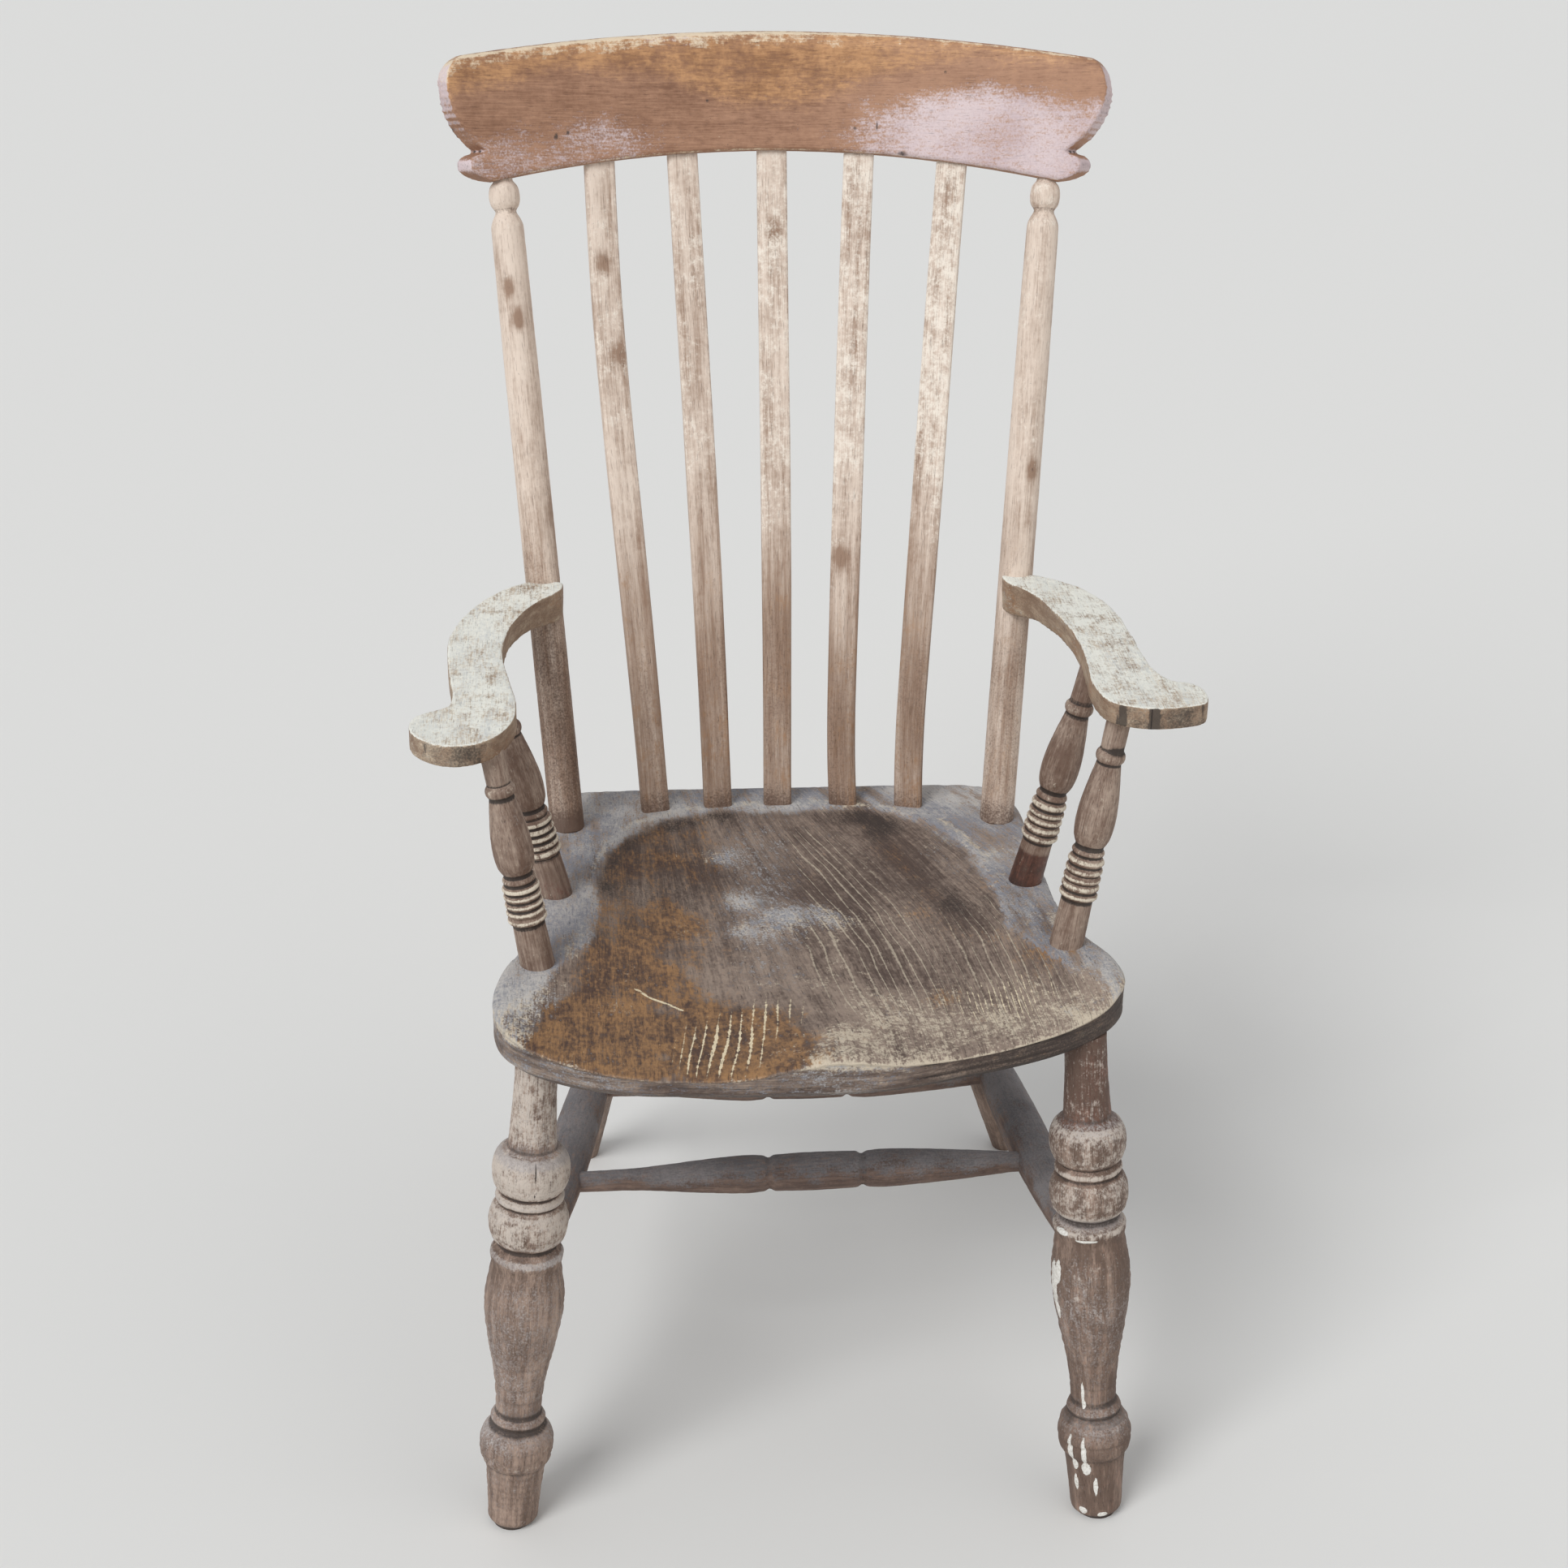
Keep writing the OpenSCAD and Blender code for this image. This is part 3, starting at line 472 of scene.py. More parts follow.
def frontLegStory(side):
    def story(height, angle, proud, spot, values):
        low = ease(height, 210, 90)
        values["grime"] += 0.25 * low + 0.2 * bell(height - 95, 14) + 0.3 * ease(height, 14, 0)
        values["wear"] += 0.25 * ease(height, 235, 300) - 0.18 * low
        values["dust"] += 0.25 * bell(height - 180, 60) + 0.15 * low
        grown = 0.35 * hills(Vector((spot.x, spot.y, spot.z * 0.1)), 160, 4) * ease(height, 100, 130)
        if side == "left":
            crackAt = 5 + 5 * hills(spot, 90, 2)
            near = math.radians(abs(angle - crackAt)) * 28
            if 300 < height < 338:
                values["crack"] = 1 - near / 3
                grown -= 0.9 * bell(near, 1.1)
            grown -= 0.6 * bell(height - 312, 0.9)
            values["grime"] += 0.6 * bell(height - 312, 1.4)
            chips = ragged(spot, 95, 41)
            if 55 < height < 78 and chips > 0.12:
                grown -= 0.7
                values["wear"] += 0.25
            # dust and a painted cool highlight on the proud rings high on the left leg
            values["dust"] += 0.04 + 0.4 * ease(proud, 0.2, 1.2) * ease(height, 150, 270)
            values["dust"] += 0.15 * ease(height, 330, 345)
            values["wear"] += 0.15 * ease(height, 240, 270)
        else:
            values["tone"] -= 0.25 + 0.3 * ease(height, 330, 350)
            values["wear"] += 0.15 * bell(height - 215, 50) - 0.05 + 0.5 * bell(height - 271, 5)
            values["dust"] += 0.9 * bell(height - 271, 5)
            values["varnish"] = 0.26 + 0.25 * ease(height, 336, 350) - 0.3 * bell(height - 271, 5)
            for at in legs["drips"]:
                amount = patch(angle, height, 24, at[:2], at[2:])
                if amount > 0:
                    values["paint"] = max(values.get("paint", 0), 0.35 + amount)
                    grown += 0.45 * ease(amount, 0, 0.5)
        return grown

    return story


def rearLegStory(height, angle, proud, spot, values):
    # darker towards the floor, and painted shade at the top under the seat
    values["grime"] += 0.25 * ease(height, 140, 20) + 0.25 * ease(height, 360, 410)
    values["dust"] += 0.2
    values["wear"] -= 0.12
    return 0


stretchers = {
    "side": lying | {
        "run": 1, "cuts": (0.3, 0.7), "step": 2.6 * mm, "soft": 2, "turns": 60,
        "wobble": 0.4 * mm, "flake": 0.3 * mm, "tone": -0.1, "rubbed": 0.26,
    },
    "cross": lying | {
        "run": 0, "cuts": (0.28, 0.72), "step": 1.6 * mm, "soft": 1, "turns": 64,
        "wobble": 0.3 * mm, "flake": 0.3 * mm, "tone": -0.1, "rubbed": 0.22,
    },
}


def stretcherStory(height, angle, proud, spot, values):
    # dust lies on the upper side, and the underside is painted darker as shade
    upper = math.cos(math.radians(angle))
    values["dust"] += 0.7 * ease(upper + 0.3 * hills(spot, 60, 5), -0.6, 1) + 0.15 * hills(spot, 60, 5)
    values["grime"] += 0.2 * ease(upper, -0.3, -1)
    return 0


posts = upright | {
    "cuts": (0.1, 0.75), "tenon": 0, "clear": 0,
    "foot": [(-5 * mm, 14.5 * mm)], "step": 1.6 * mm, "soft": 1, "turns": 72, "wobble": 0.3 * mm,
    "flake": 0.25 * mm, "tone": 0.15, "rubbed": 0.27,
    "knots": {"left": [(-12, 455), (10, 428)], "right": [(20, 300)]},
}


def postStory(side):
    def story(height, angle, proud, spot, values):
        upper = ease(height + 60 * hills(spot, 9, 3), 150, 330)
        values["grime"] += 0.3 * ease(height, 22, 0) + (1 - upper) * (0.55 if side == "left" else 0.4)
        values["wear"] += (0.18 if side == "left" else 0.26) * upper - 0.16
        values["varnish"] = 0.35 * (1 - upper)
        values["tone"] += 0.3 * upper - (0.35 if side == "left" else 0.1) * (1 - upper)
        for at in posts["knots"][side]:
            near = 1 - patch(angle, height, 14, at, (6, 10))
            values["tone"] -= 1.4 * bell(near, 0.8)
            values["grime"] += 0.45 * bell(near, 0.35)
        return 0

    return story


spindles = upright | {
    "cuts": (0.06, 0.95), "tenon": 6 * mm,
    "clear": 14 * mm, "foot": [(-5 * mm, 13.4 * mm)], "step": 1 * mm, "soft": 1, "turns": 72,
    "wobble": 0.2 * mm, "flake": 0.3 * mm, "tone": -0.15, "rubbed": 0.16,
}


def spindleStory(side, place):
    def story(height, angle, proud, spot, values):
        rings = bell(height - 58, 26)
        values["wear"] += 0.38 * rings * ease(proud, 0, 1) + 0.06
        # the sunk rings and the foot at the seat painted darker: dirt and painted shade
        values["grime"] += 0.25 * ease(height, 8, 0) + 0.8 * ease(proud, -0.2, -0.9)
        if place == "rear":
            values["varnish"] = 0.75 * ease(height, 34, 26) if side == "right" else 0.4 * ease(height, 34, 26)
            values["grime"] += 0.2 * ease(height, 34, 0)
        elif side == "right":
            # painted shadow of the arm: a dark band just below it
            values["grime"] += 0.8 * bell(height - 166, 6) * ease(angle, -50, 0)
        return 0

    return story


# ---- laths: swept along the paths of the frame's laths

laths = {
    "cuts": 13, "lengths": 210, "around": 28, "square": 4.5, "thinner": 0.94,
    "knots": {1: [(-3, 0.83), (5, 0.7)], 3: [(2, 0.86)], 4: [(-4, 0.4)]},
}


def lathSection(node, share):
    # middle, direction across, width and thickness of a level cut
    low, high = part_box(node)
    made, cut = cutThrough(node, low.lerp(high, share), Vector((0, 0, 1)))
    loop = outerLoop(cut)
    made.free()
    middle = sum(loop, Vector()) / len(loop)
    spread = [p - middle for p in loop]
    xx, yy, xy = (sum(a) for a in zip(*[(p.x * p.x, p.y * p.y, p.x * p.y) for p in spread]))
    turn = 0.5 * math.atan2(2 * xy, xx - yy)
    across = Vector((math.cos(turn), math.sin(turn), 0))
    through = Vector((-math.sin(turn), math.cos(turn), 0))
    wide = [p.dot(across) for p in spread]
    thick = [p.dot(through) for p in spread]
    middle += across * (max(wide) + min(wide)) / 2 + through * (max(thick) + min(thick)) / 2
    return middle, across, through, max(wide) - min(wide), max(thick) - min(thick)


def alongCurve(points, share):
    # Catmull-Rom curve through the points, share 0 to 1
    place = clamp(share) * (len(points) - 1)
    i = min(int(place), len(points) - 2)
    t = place - i
    a, b, c, d = (points[clamp(i + k, 0, len(points) - 1)] for k in (-1, 0, 1, 2))
    return 0.5 * (2 * b + (c - a) * t + (2 * a - 5 * b + 4 * c - d) * t * t + (3 * b - a - 3 * c + d) * t**3)


def lathPiece(number):
    node = f"lath_{number}"
    shares = [0.012 + 0.976 * k / laths["cuts"] for k in range(laths["cuts"] + 1)]
    cuts = [lathSection(node, share) for share in shares]
    middles = [cut[0] for cut in cuts]
    across, through = cuts[6][1:3]
    wide, thick = cuts[6][3:]
    made = bmesh.new()
    bmesh.ops.create_cone(
        made, cap_ends=True, segments=laths["around"], radius1=1, radius2=1, depth=1,
    )
    long = [e for e in made.edges if abs(e.verts[0].co.z - e.verts[1].co.z) > 0.5]
    bmesh.ops.subdivide_edges(made, edges=long, cuts=laths["lengths"], use_grid_fill=True)
    marks, seed, square = Marks(), 11.0 * number, 2 / laths["square"]
    for vertex in made.verts:
        share = vertex.co.z + 0.5
        u = math.copysign(abs(vertex.co.x) ** square, vertex.co.x)
        v = math.copysign(abs(vertex.co.y) ** square, vertex.co.y)
        height = share * (middles[-1].z - middles[0].z)
        half = wide / 2 * (laths["thinner"] + (1 - laths["thinner"]) * ease(share, 0.05, 0.5))
        spot = Vector((u * half, v * thick / 2, height))
        rough = ragged(Vector((spot.x, spot.y, spot.z * 0.15)), 90, seed)
        chip = ragged(spot, 120, seed + 5)
        edge = ease(abs(u), 0.86, 1) * ease(abs(v), 0.5, 0.95)
        upper = ease(share + 0.2 * hills(spot, 9, seed), 0.18, 0.62)
        stripes = hills(Vector((spot.x, 0, spot.z * 0.06)), 160, seed)
        # each lath is paler and less varnished towards the top, and darker and browner towards the bottom,
        # most of all just above the seat
        values = {
            "wear": 0.01 + (0.34 + 0.05 * number) * upper + 0.35 * edge + 0.2 * chip,
            "grime": 0.02 + 0.3 * ease(height, 36 * mm, 16 * mm) - 0.2 * rough + 0.36 * (1 - upper),
            "dust": 0.1 + 0.1 * rough,
            "varnish": 0.5 * (1 - upper) + 0.2 * rough,
            "tone": 0.35 * upper - 0.1 + 0.5 * stripes + 0.3 * rough,
        }
        for side, at in laths["knots"].get(number, []):
            near = math.hypot((spot.x / mm - side) / 5, (share - at) * 600 / 9)
            values["tone"] -= 1.6 * bell(near, 1)
            values["grime"] += 0.5 * bell(near, 0.45)
        inward = 0.25 * mm * rough - 0.5 * mm * edge * ease(chip, 0.05, 0.3) - 0.15 * mm
        spot.x += math.copysign(inward, u) * abs(u)
        spot.y += math.copysign(inward, v) * abs(v) * 0.6
        marks.add((spot.x + seed, spot.y * 3, spot.z), values)
        vertex.co = alongCurve(middles, share) + across * spot.x + through * spot.y
    bmesh.ops.recalc_face_normals(made, faces=made.faces)
    return finishPiece(made, node, "beech_back", marks)


# ---- sawn pieces: even-meshed copies of the frame's crest rail and arms


def evenCopy(node, size, smooth):
    # a node's copy with small, even faces and worn edges, and how hollow it is at each vertex
    made = mergedCopy(node)
    mesh = bpy.data.meshes.new("blank")
    made.to_mesh(mesh)
    made.free()
    blank = bpy.data.objects.new("blank", mesh)
    bpy.context.scene.collection.objects.link(blank)
    even = blank.modifiers.new("even", "REMESH")
    even.mode = "VOXEL"
    even.voxel_size = size
    made = bmesh.new()
    made.from_object(blank, bpy.context.evaluated_depsgraph_get())
    bpy.data.objects.remove(blank)
    bpy.data.meshes.remove(mesh)
    for _ in range(smooth):
        bmesh.ops.smooth_vert(
            made, verts=made.verts, factor=0.5, use_axis_x=True, use_axis_y=True, use_axis_z=True
        )
    made.normal_update()
    hollow = []
    for vertex in made.verts:
        near = [edge.other_vert(vertex).co for edge in vertex.link_edges]
        hollow.append((sum(near, Vector()) / len(near) - vertex.co).dot(vertex.normal) / size)
    for _ in range(3):
        hollow = [
            0.5 * hollow[v.index]
            + 0.5 * sum(hollow[edge.other_vert(v).index] for edge in v.link_edges) / len(v.link_edges)
            for v in made.verts
        ]
    return made, hollow


crest = {
    "voxel": 1.6 * mm, "middle": (290.3 * mm, 975 * mm), "lean": math.radians(14), "bend": 600 * mm,
    "half": 276 * mm, "height": 99 * mm, "chip": 0.9 * mm,
    # how low the golden varnish reaches: places across and shares of the height
    "golden": [
        (-1, 0.5), (-0.6, 0.55), (-0.35, 0.42), (-0.1, 0.18), (0.1, 0.16), (0.3, 0.42), (0.6, 0.66),
        (1, 0.72),
    ],
    # dark dents: place across and share of the height, and the size in the same terms
    "spots": [
        ((-0.666, 0.257), (0.008, 0.03)), ((-0.63, 0.271), (0.008, 0.026)), ((0.316, 0.239), (0.005, 0.055)),
        ((0.249, 0.207), (0.008, 0.02)), ((0.521, 0.724), (0.006, 0.02)), ((0.394, 0.027), (0.02, 0.03)),
        ((-0.204, 0.424), (0.007, 0.02)),
    ],
}


def crestPiece():
    made, hollow = evenCopy("crest_rail", crest["voxel"], 2)
    marks = Marks()
    lean, half, (middleY, middleZ) = crest["lean"], crest["half"], crest["middle"]
    for vertex, dip in zip(made.verts, hollow):
        point = vertex.co.copy()
        y, z = point.y - middleY, point.z - middleZ
        across = point.x / half
        out = y * math.cos(lean) - z * math.sin(lean) + point.x**2 / (2 * crest["bend"])
        up = y * math.sin(lean) + z * math.cos(lean)
        lower = -27 * mm * (across / 0.86) ** 2
        upper = crest["height"] - 18 * mm * (across / 0.81) ** 2
        share = (up - lower) / (upper - lower)
        facing = vertex.normal.y * math.cos(lean) - vertex.normal.z * math.sin(lean)
        flat = Vector((up, out, point.x))
        drawn = Vector((up, out, point.x * 0.2))
        rough, patchy = ragged(drawn, 45, 3), ragged(point, 32, 8)
        fine = ragged(point, 110, 15)
        end = ease(abs(vertex.normal.x), 0.55, 0.85) * ease(abs(across), 0.84, 0.88)
        top = ease(share + 0.05 * patchy, 0.83, 0.93) * ease(share, 0.5, 0.6)
        edge = ease(-dip, 0.05, 0.16)
        front = ease(-facing, 0.2, 0.6)
        low = between(crest["golden"], across) + 0.08 * patchy
        golden = ease(share, low, low + 0.34) * front
        lilac = ease(across, 0.02, 0.5) * ease(share, low + 0.14, low - 0.2) * front
        mauve = ease(-across, 0.1, 0.45) * ease(share, low + 0.05, low - 0.3) * front
        flaky = 0.5 + 0.5 * ease(-across, -0.2, 0.0) + 0.4 * bell(across + 0.25, 0.16)
        flaky = top * (flaky + 0.3 * bell(across - 0.18, 0.06))
        arris = bell(share - 0.985, 0.018) + bell(share - 0.008, 0.014)
        values = {
            "wear": 0.12 + 0.38 * flaky + 0.5 * arris * front + 0.3 * fine + 0.15 * patchy,
            "varnish": 0.02 + 0.6 * golden + 0.2 * patchy,
            "dust": 0.04 + 0.7 * lilac + 0.34 * mauve + 0.15 * patchy,
            # darker on the end faces, and painted shade in the hollows and sockets
            "grime": 0.5 * end + 1.4 * ease(dip, 0.04, 0.18) + 0.2 * ease(-patchy, 0.15, 0.5),
            "tone": 0.1 + 0.3 * rough + 0.3 * ease(across, 0.0, 0.5),
        }
        values["wear"] += 0.4 * edge * (1 - top)
        values["dust"] += 0.25 * flaky * bell(across + 0.33, 0.14)
        values["grime"] += 0.9 * front * sum(blob(across, share, *dent) for dent in crest["spots"])
        if end > 0:
            tips = ease(share, 0.7, 0.9) + ease(share, 0.08, 0.0)
            values["dust"] += 0.7 * end
            values["wear"] += 0.6 * end * tips * ease(-across, -0.1, 0.5)
            values["grime"] += end * (0.5 * bell(share - 0.38, 0.1) - 0.5 * ease(share, 0.65, 0.9))
        chip = edge * ease(fine, 0.05, 0.35) * crest["chip"]
        worn = 0.25 * mm * rough + 0.3 * mm * top * min(fine, 0.1) - chip
        marks.add(flat[:], values)
        vertex.co = point + vertex.normal * (worn - 0.12 * mm)
    return finishPiece(made, "crest_rail", "varnished_crest", marks)


arms = {
    "voxel": 1.3 * mm, "chip": 0.7 * mm,
}


def armPiece(side):
    node = "arm_" + side
    low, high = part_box(node)
    made, hollow = evenCopy(node, arms["voxel"], 2)
    out = -1 if side == "left" else 1
    seed = 5.0 if side == "left" else 9.0
    marks = Marks()
    for vertex, dip in zip(made.verts, hollow):
        point = vertex.co.copy()
        normal = vertex.normal
        run = (point.y - low.y) / mm
        upper = ease(normal.z, 0.55, 0.85)
        outer = ease(normal.x * out, 0.3, 0.8)
        hand = ease(run, 70, 30)
        drawn = Vector((point.x, point.z, point.y * 0.16))
        rough = ragged(drawn, 70, seed)
        patchy, fine = ragged(point, 34, seed + 2), ragged(point, 120, seed + 4)
        edge = ease(-dip, 0.05, 0.16)
        sawn = ease(-normal.y, 0.5, 0.9) * hand
        values = {
            "wear": 0.22 + 0.46 * upper + 0.4 * edge + 0.3 * patchy + 0.1 * outer,
            "dust": 0.1 + 0.3 * upper + 0.4 * rough,
            # painted shade in the hollows
            "grime": 0.06 + 0.3 * (1 - upper) * ease(-patchy, -0.2, 0.5) + 1.5 * ease(dip, 0.04, 0.2),
            "varnish": (1 - upper) * (0.42 - 0.2 * outer) + 0.3 * patchy * (1 - upper),
            "tone": 0.3 * upper - 0.2 + 0.5 * rough,
        }
        if sawn > 0:
            smudge = ragged(Vector((point.x, point.y, point.z * 0.15)), 150 if side == "right" else 60, 7)
            values["grime"] += sawn * (0.35 + 1.1 * ease(smudge, 0.0, 0.4))
        if side == "right" and run < 40 and upper < 0.5:
            near = abs(point.x - (low.x + high.x) / 2 - 9 * mm) / mm
            values["crack"] = 1 - near / 3
        chip = edge * ease(fine, 0.05, 0.35) * arms["chip"]
        worn = 0.25 * mm * rough - chip - 0.1 * mm
        marks.add((point.x, point.z, point.y + seed), values)
        vertex.co = point + normal * worn
    return finishPiece(made, node, "beech_arms", marks)


# ---- seat: the plank's top, hollowed, with its edge and underside

seat = {
    "across": 250, "deep": 236, "dish": 16, "rimBack": 40, "edgeRows": 12, "chamfer": 7, "roll": 3.5,
    "within": 0.4 * mm,
    # soft patches, their middles and sizes in mm across and from the front
    "ochre": [((104, 106), (16, 22)), ((170, 272), (20, 20)), ((-132, 190), (26, 60)), ((-36, 44), (24, 22))],
    "bright": [
        (middle, (17, 15))
        for middle in ((-45, 222), (-47, 272), (-58, 342), (17, 254), (30, 235), (-10, 246))
    ],
    "chestnut": [((192, 158), (26, 24))], "heart": [((-18, 300), (95, 125))], "pale": [((8, 180), (62, 70))],
    "smudge": [((-27, 268), (9, 22))], "behind": [((128, 330), (26, 46))],
    # middle lines of the curved ridges and of the dark band: depths and places across
    "sweep": [(0, 98), (60, 96), (121, 90), (192, 82), (245, 72), (325, 45), (356, 32), (410, 5), (460, -22)],
    "bands": [(0, 205), (106, 156), (190, 136), (242, 122), (305, 106), (365, 84), (460, 50)],
    "score": [((-134, 130), (-122, 117)), ((-122, 117), (-110, 110)), ((-110, 110), (-99, 101))],
}


def saddleShare(x, d, half, depth):
    # 0 in the middle of the hollow and 1 at its rim, for a place across and a depth from the front
    t = clamp((0.44 * depth - d) / (0.28 * depth))
    tx = abs(x) / (half * (0.69 + 0.31 * t**1.3))
    ty = max(0, (d - 0.4 * depth) / (0.6 * depth - seat["rimBack"]))
    return (tx**3.2 + ty**3.2) ** (1 / 3.2)


def saddleDrop(x, d, r, half, depth):
    if r >= 1:
        return 0
    pommel = math.exp(-(((x - 0.05 * half) / (0.16 * half)) ** 2) / 2) * clamp(1 - d / (0.34 * depth))
    moved = 1 - 0.35 * clamp(x / 80) * clamp((93 - d) / 90)
    return seat["dish"] * (1 - r**3) * (1 - pommel) * moved


def seatTop(x, d, share, half, depth):
    # height change in mm and marks for a place on the seat's top
    r = saddleShare(x, d, half, depth)
    drop = saddleDrop(x, d, r, half, depth)
    flat = Vector((x * mm, d * mm, 0))
    swept = x - between(seat["sweep"], d) * ease(x, -150, 90)
    grained = Vector((swept * mm, 0, d * mm * 0.25))
    patchy, cloudy = ragged(flat, 26, 2), hills(flat, 11, 6)
    flake, drawn = ragged(grained, 110, 4), ragged(grained, 45, 14)
    inside = ease(r + 0.03 * patchy, 1.0, 0.93)
    rim = 1 - inside
    left = ease(-x + 26 * drawn, 20, 105) * ease(d, 0, 60)
    frontLeft = ease(-x + 26 * patchy, -18, 36) * ease(d + 20 * patchy, 135, 60)
    frontLeft *= ease(x + 30 * patchy + 14 * drawn - 0.35 * d, -256, -222)
    frontLeft *= 1 - 0.7 * ease(-patchy, 0.1, 0.5)
    band = bell(x - between(seat["bands"], d) + 8 * drawn, 19) * ease(d, 150, 240)
    names = ("ochre", "bright", "chestnut", "heart", "pale", "smudge", "behind")
    ochre, bright, chestnut, heart, pale, smudge, behind = (
        sum(blob(x, d, *place) for place in seat[name]) for name in names
    )
    frontRight = ease(x + 34 * patchy + 14 * drawn, -14 - 0.3 * (90 - d), 40 - 0.3 * (90 - d))
    frontRight *= ease(d + 26 * patchy, 150, 70)

    ridgeZone = bell(swept + 8, 26) * ease(d, 62, 100) * ease(d, 415, 350)
    ridgeZone += 0.55 * bell(swept + 46, 16) * ease(d, 330, 200)
    ridgeZone *= ease(x, -12, 16) * ease(d, 60, 100) * inside
    rightZone = ease(x, 100, 140) * ease(d, 30, 70) * ease(d, 300, 190) * inside
    straw = blob(x - 0.1 * (d - 44), d, (-70, 44), (38, 44)) * ease(d, -6, 12)
    straw += 0.6 * blob(x, d, (150, 100), (60, 45)) + 0.45 * blob(x, d, (-24, 96), (30, 30))
    score = max(1 - nearLine(x, d, a, b) / 3.4 for a, b in seat["score"])
    lip = bell(r - 1.015 - 0.02 * patchy, 0.02) * ease(d, 250, 350)
    # painted shade just inside the raised lip at the back, added to the grime
    shade = bell(r - 0.94, 0.05) * ease(d, 170, 330)
    arris = ease(share + 0.006 * patchy, 0.991, 0.998) * ease(d, 300, 160)
    corner = ease(x + 26 * drawn - 0.35 * d, -214, -246) * ease(d + 20 * patchy, 150, 95)

    values = {
        "varnish": 0.48 * left * inside + 0.9 * frontLeft + 0.4 * ochre + 0.5 * chestnut + 0.1 + 0.25 * drawn,
        # the rim outside the hollow: dust and a painted cool highlight
        "dust": 0.85 * rim * ease(d, 40, 150) + 0.32 * heart * (1 - left) + 0.2 * pale + 0.42 * bright,
        "wear": 0.16 + 0.27 * frontRight + 0.2 * pale + 0.3 * bright + 0.3 * arris + 0.5 * lip,
        "grime": 0.12 + 0.34 * shade + 0.3 * band * inside + 0.4 * smudge + 0.12 * left * ease(d, 150, 300),
        "scratch": score,
        "ridge": 1.1 * ridgeZone + 0.7 * rightZone + 0.3 * pale + 0.35 * inside * ease(x, -20, 40),
        "straw": 1.5 * straw,
        "tone": 0.4 * cloudy + 0.35 * frontRight + 0.2 * pale - 0.25 * heart - 0.5 * band + 0.3 * rim,
    }
    values["wear"] += 0.28 * patchy + 0.2 * flake + 0.16 * rim + 0.1 * ease(d, 150, 60) * ease(x, -60, 20)
    values["dust"] += 0.2 * cloudy - 0.2 * ridgeZone + 0.15 * patchy + 0.25 * behind + 0.5 * corner
    # more dust and painted highlight on the rim
    values["dust"] += 0.3 * frontRight * patchy - 0.45 * band + rim * (0.7 * drawn + 0.5 * flake - 0.1)
    values["wear"] += 0.42 * corner + 0.4 * rim * flake
    values["varnish"] += 0.2 * patchy - 0.5 * arris - 0.3 * pale - 0.3 * bright - 0.5 * corner - 0.3 * behind
    values["varnish"] += 0.25 * band + 0.4 * left * inside * (patchy + drawn)
    values["grime"] += 0.25 * inside * ease(-patchy, 0.05, 0.4) - 0.15 * corner - 0.2 * frontRight
    change = -drop - 0.2 * ease(score, 0.5, 0.9) + 0.3 * patchy * (0.3 + inside) + 0.12 * flake + 0.5 * lip
    return min(change, 0.0 if r > 0.9 else 0.4), values, swept


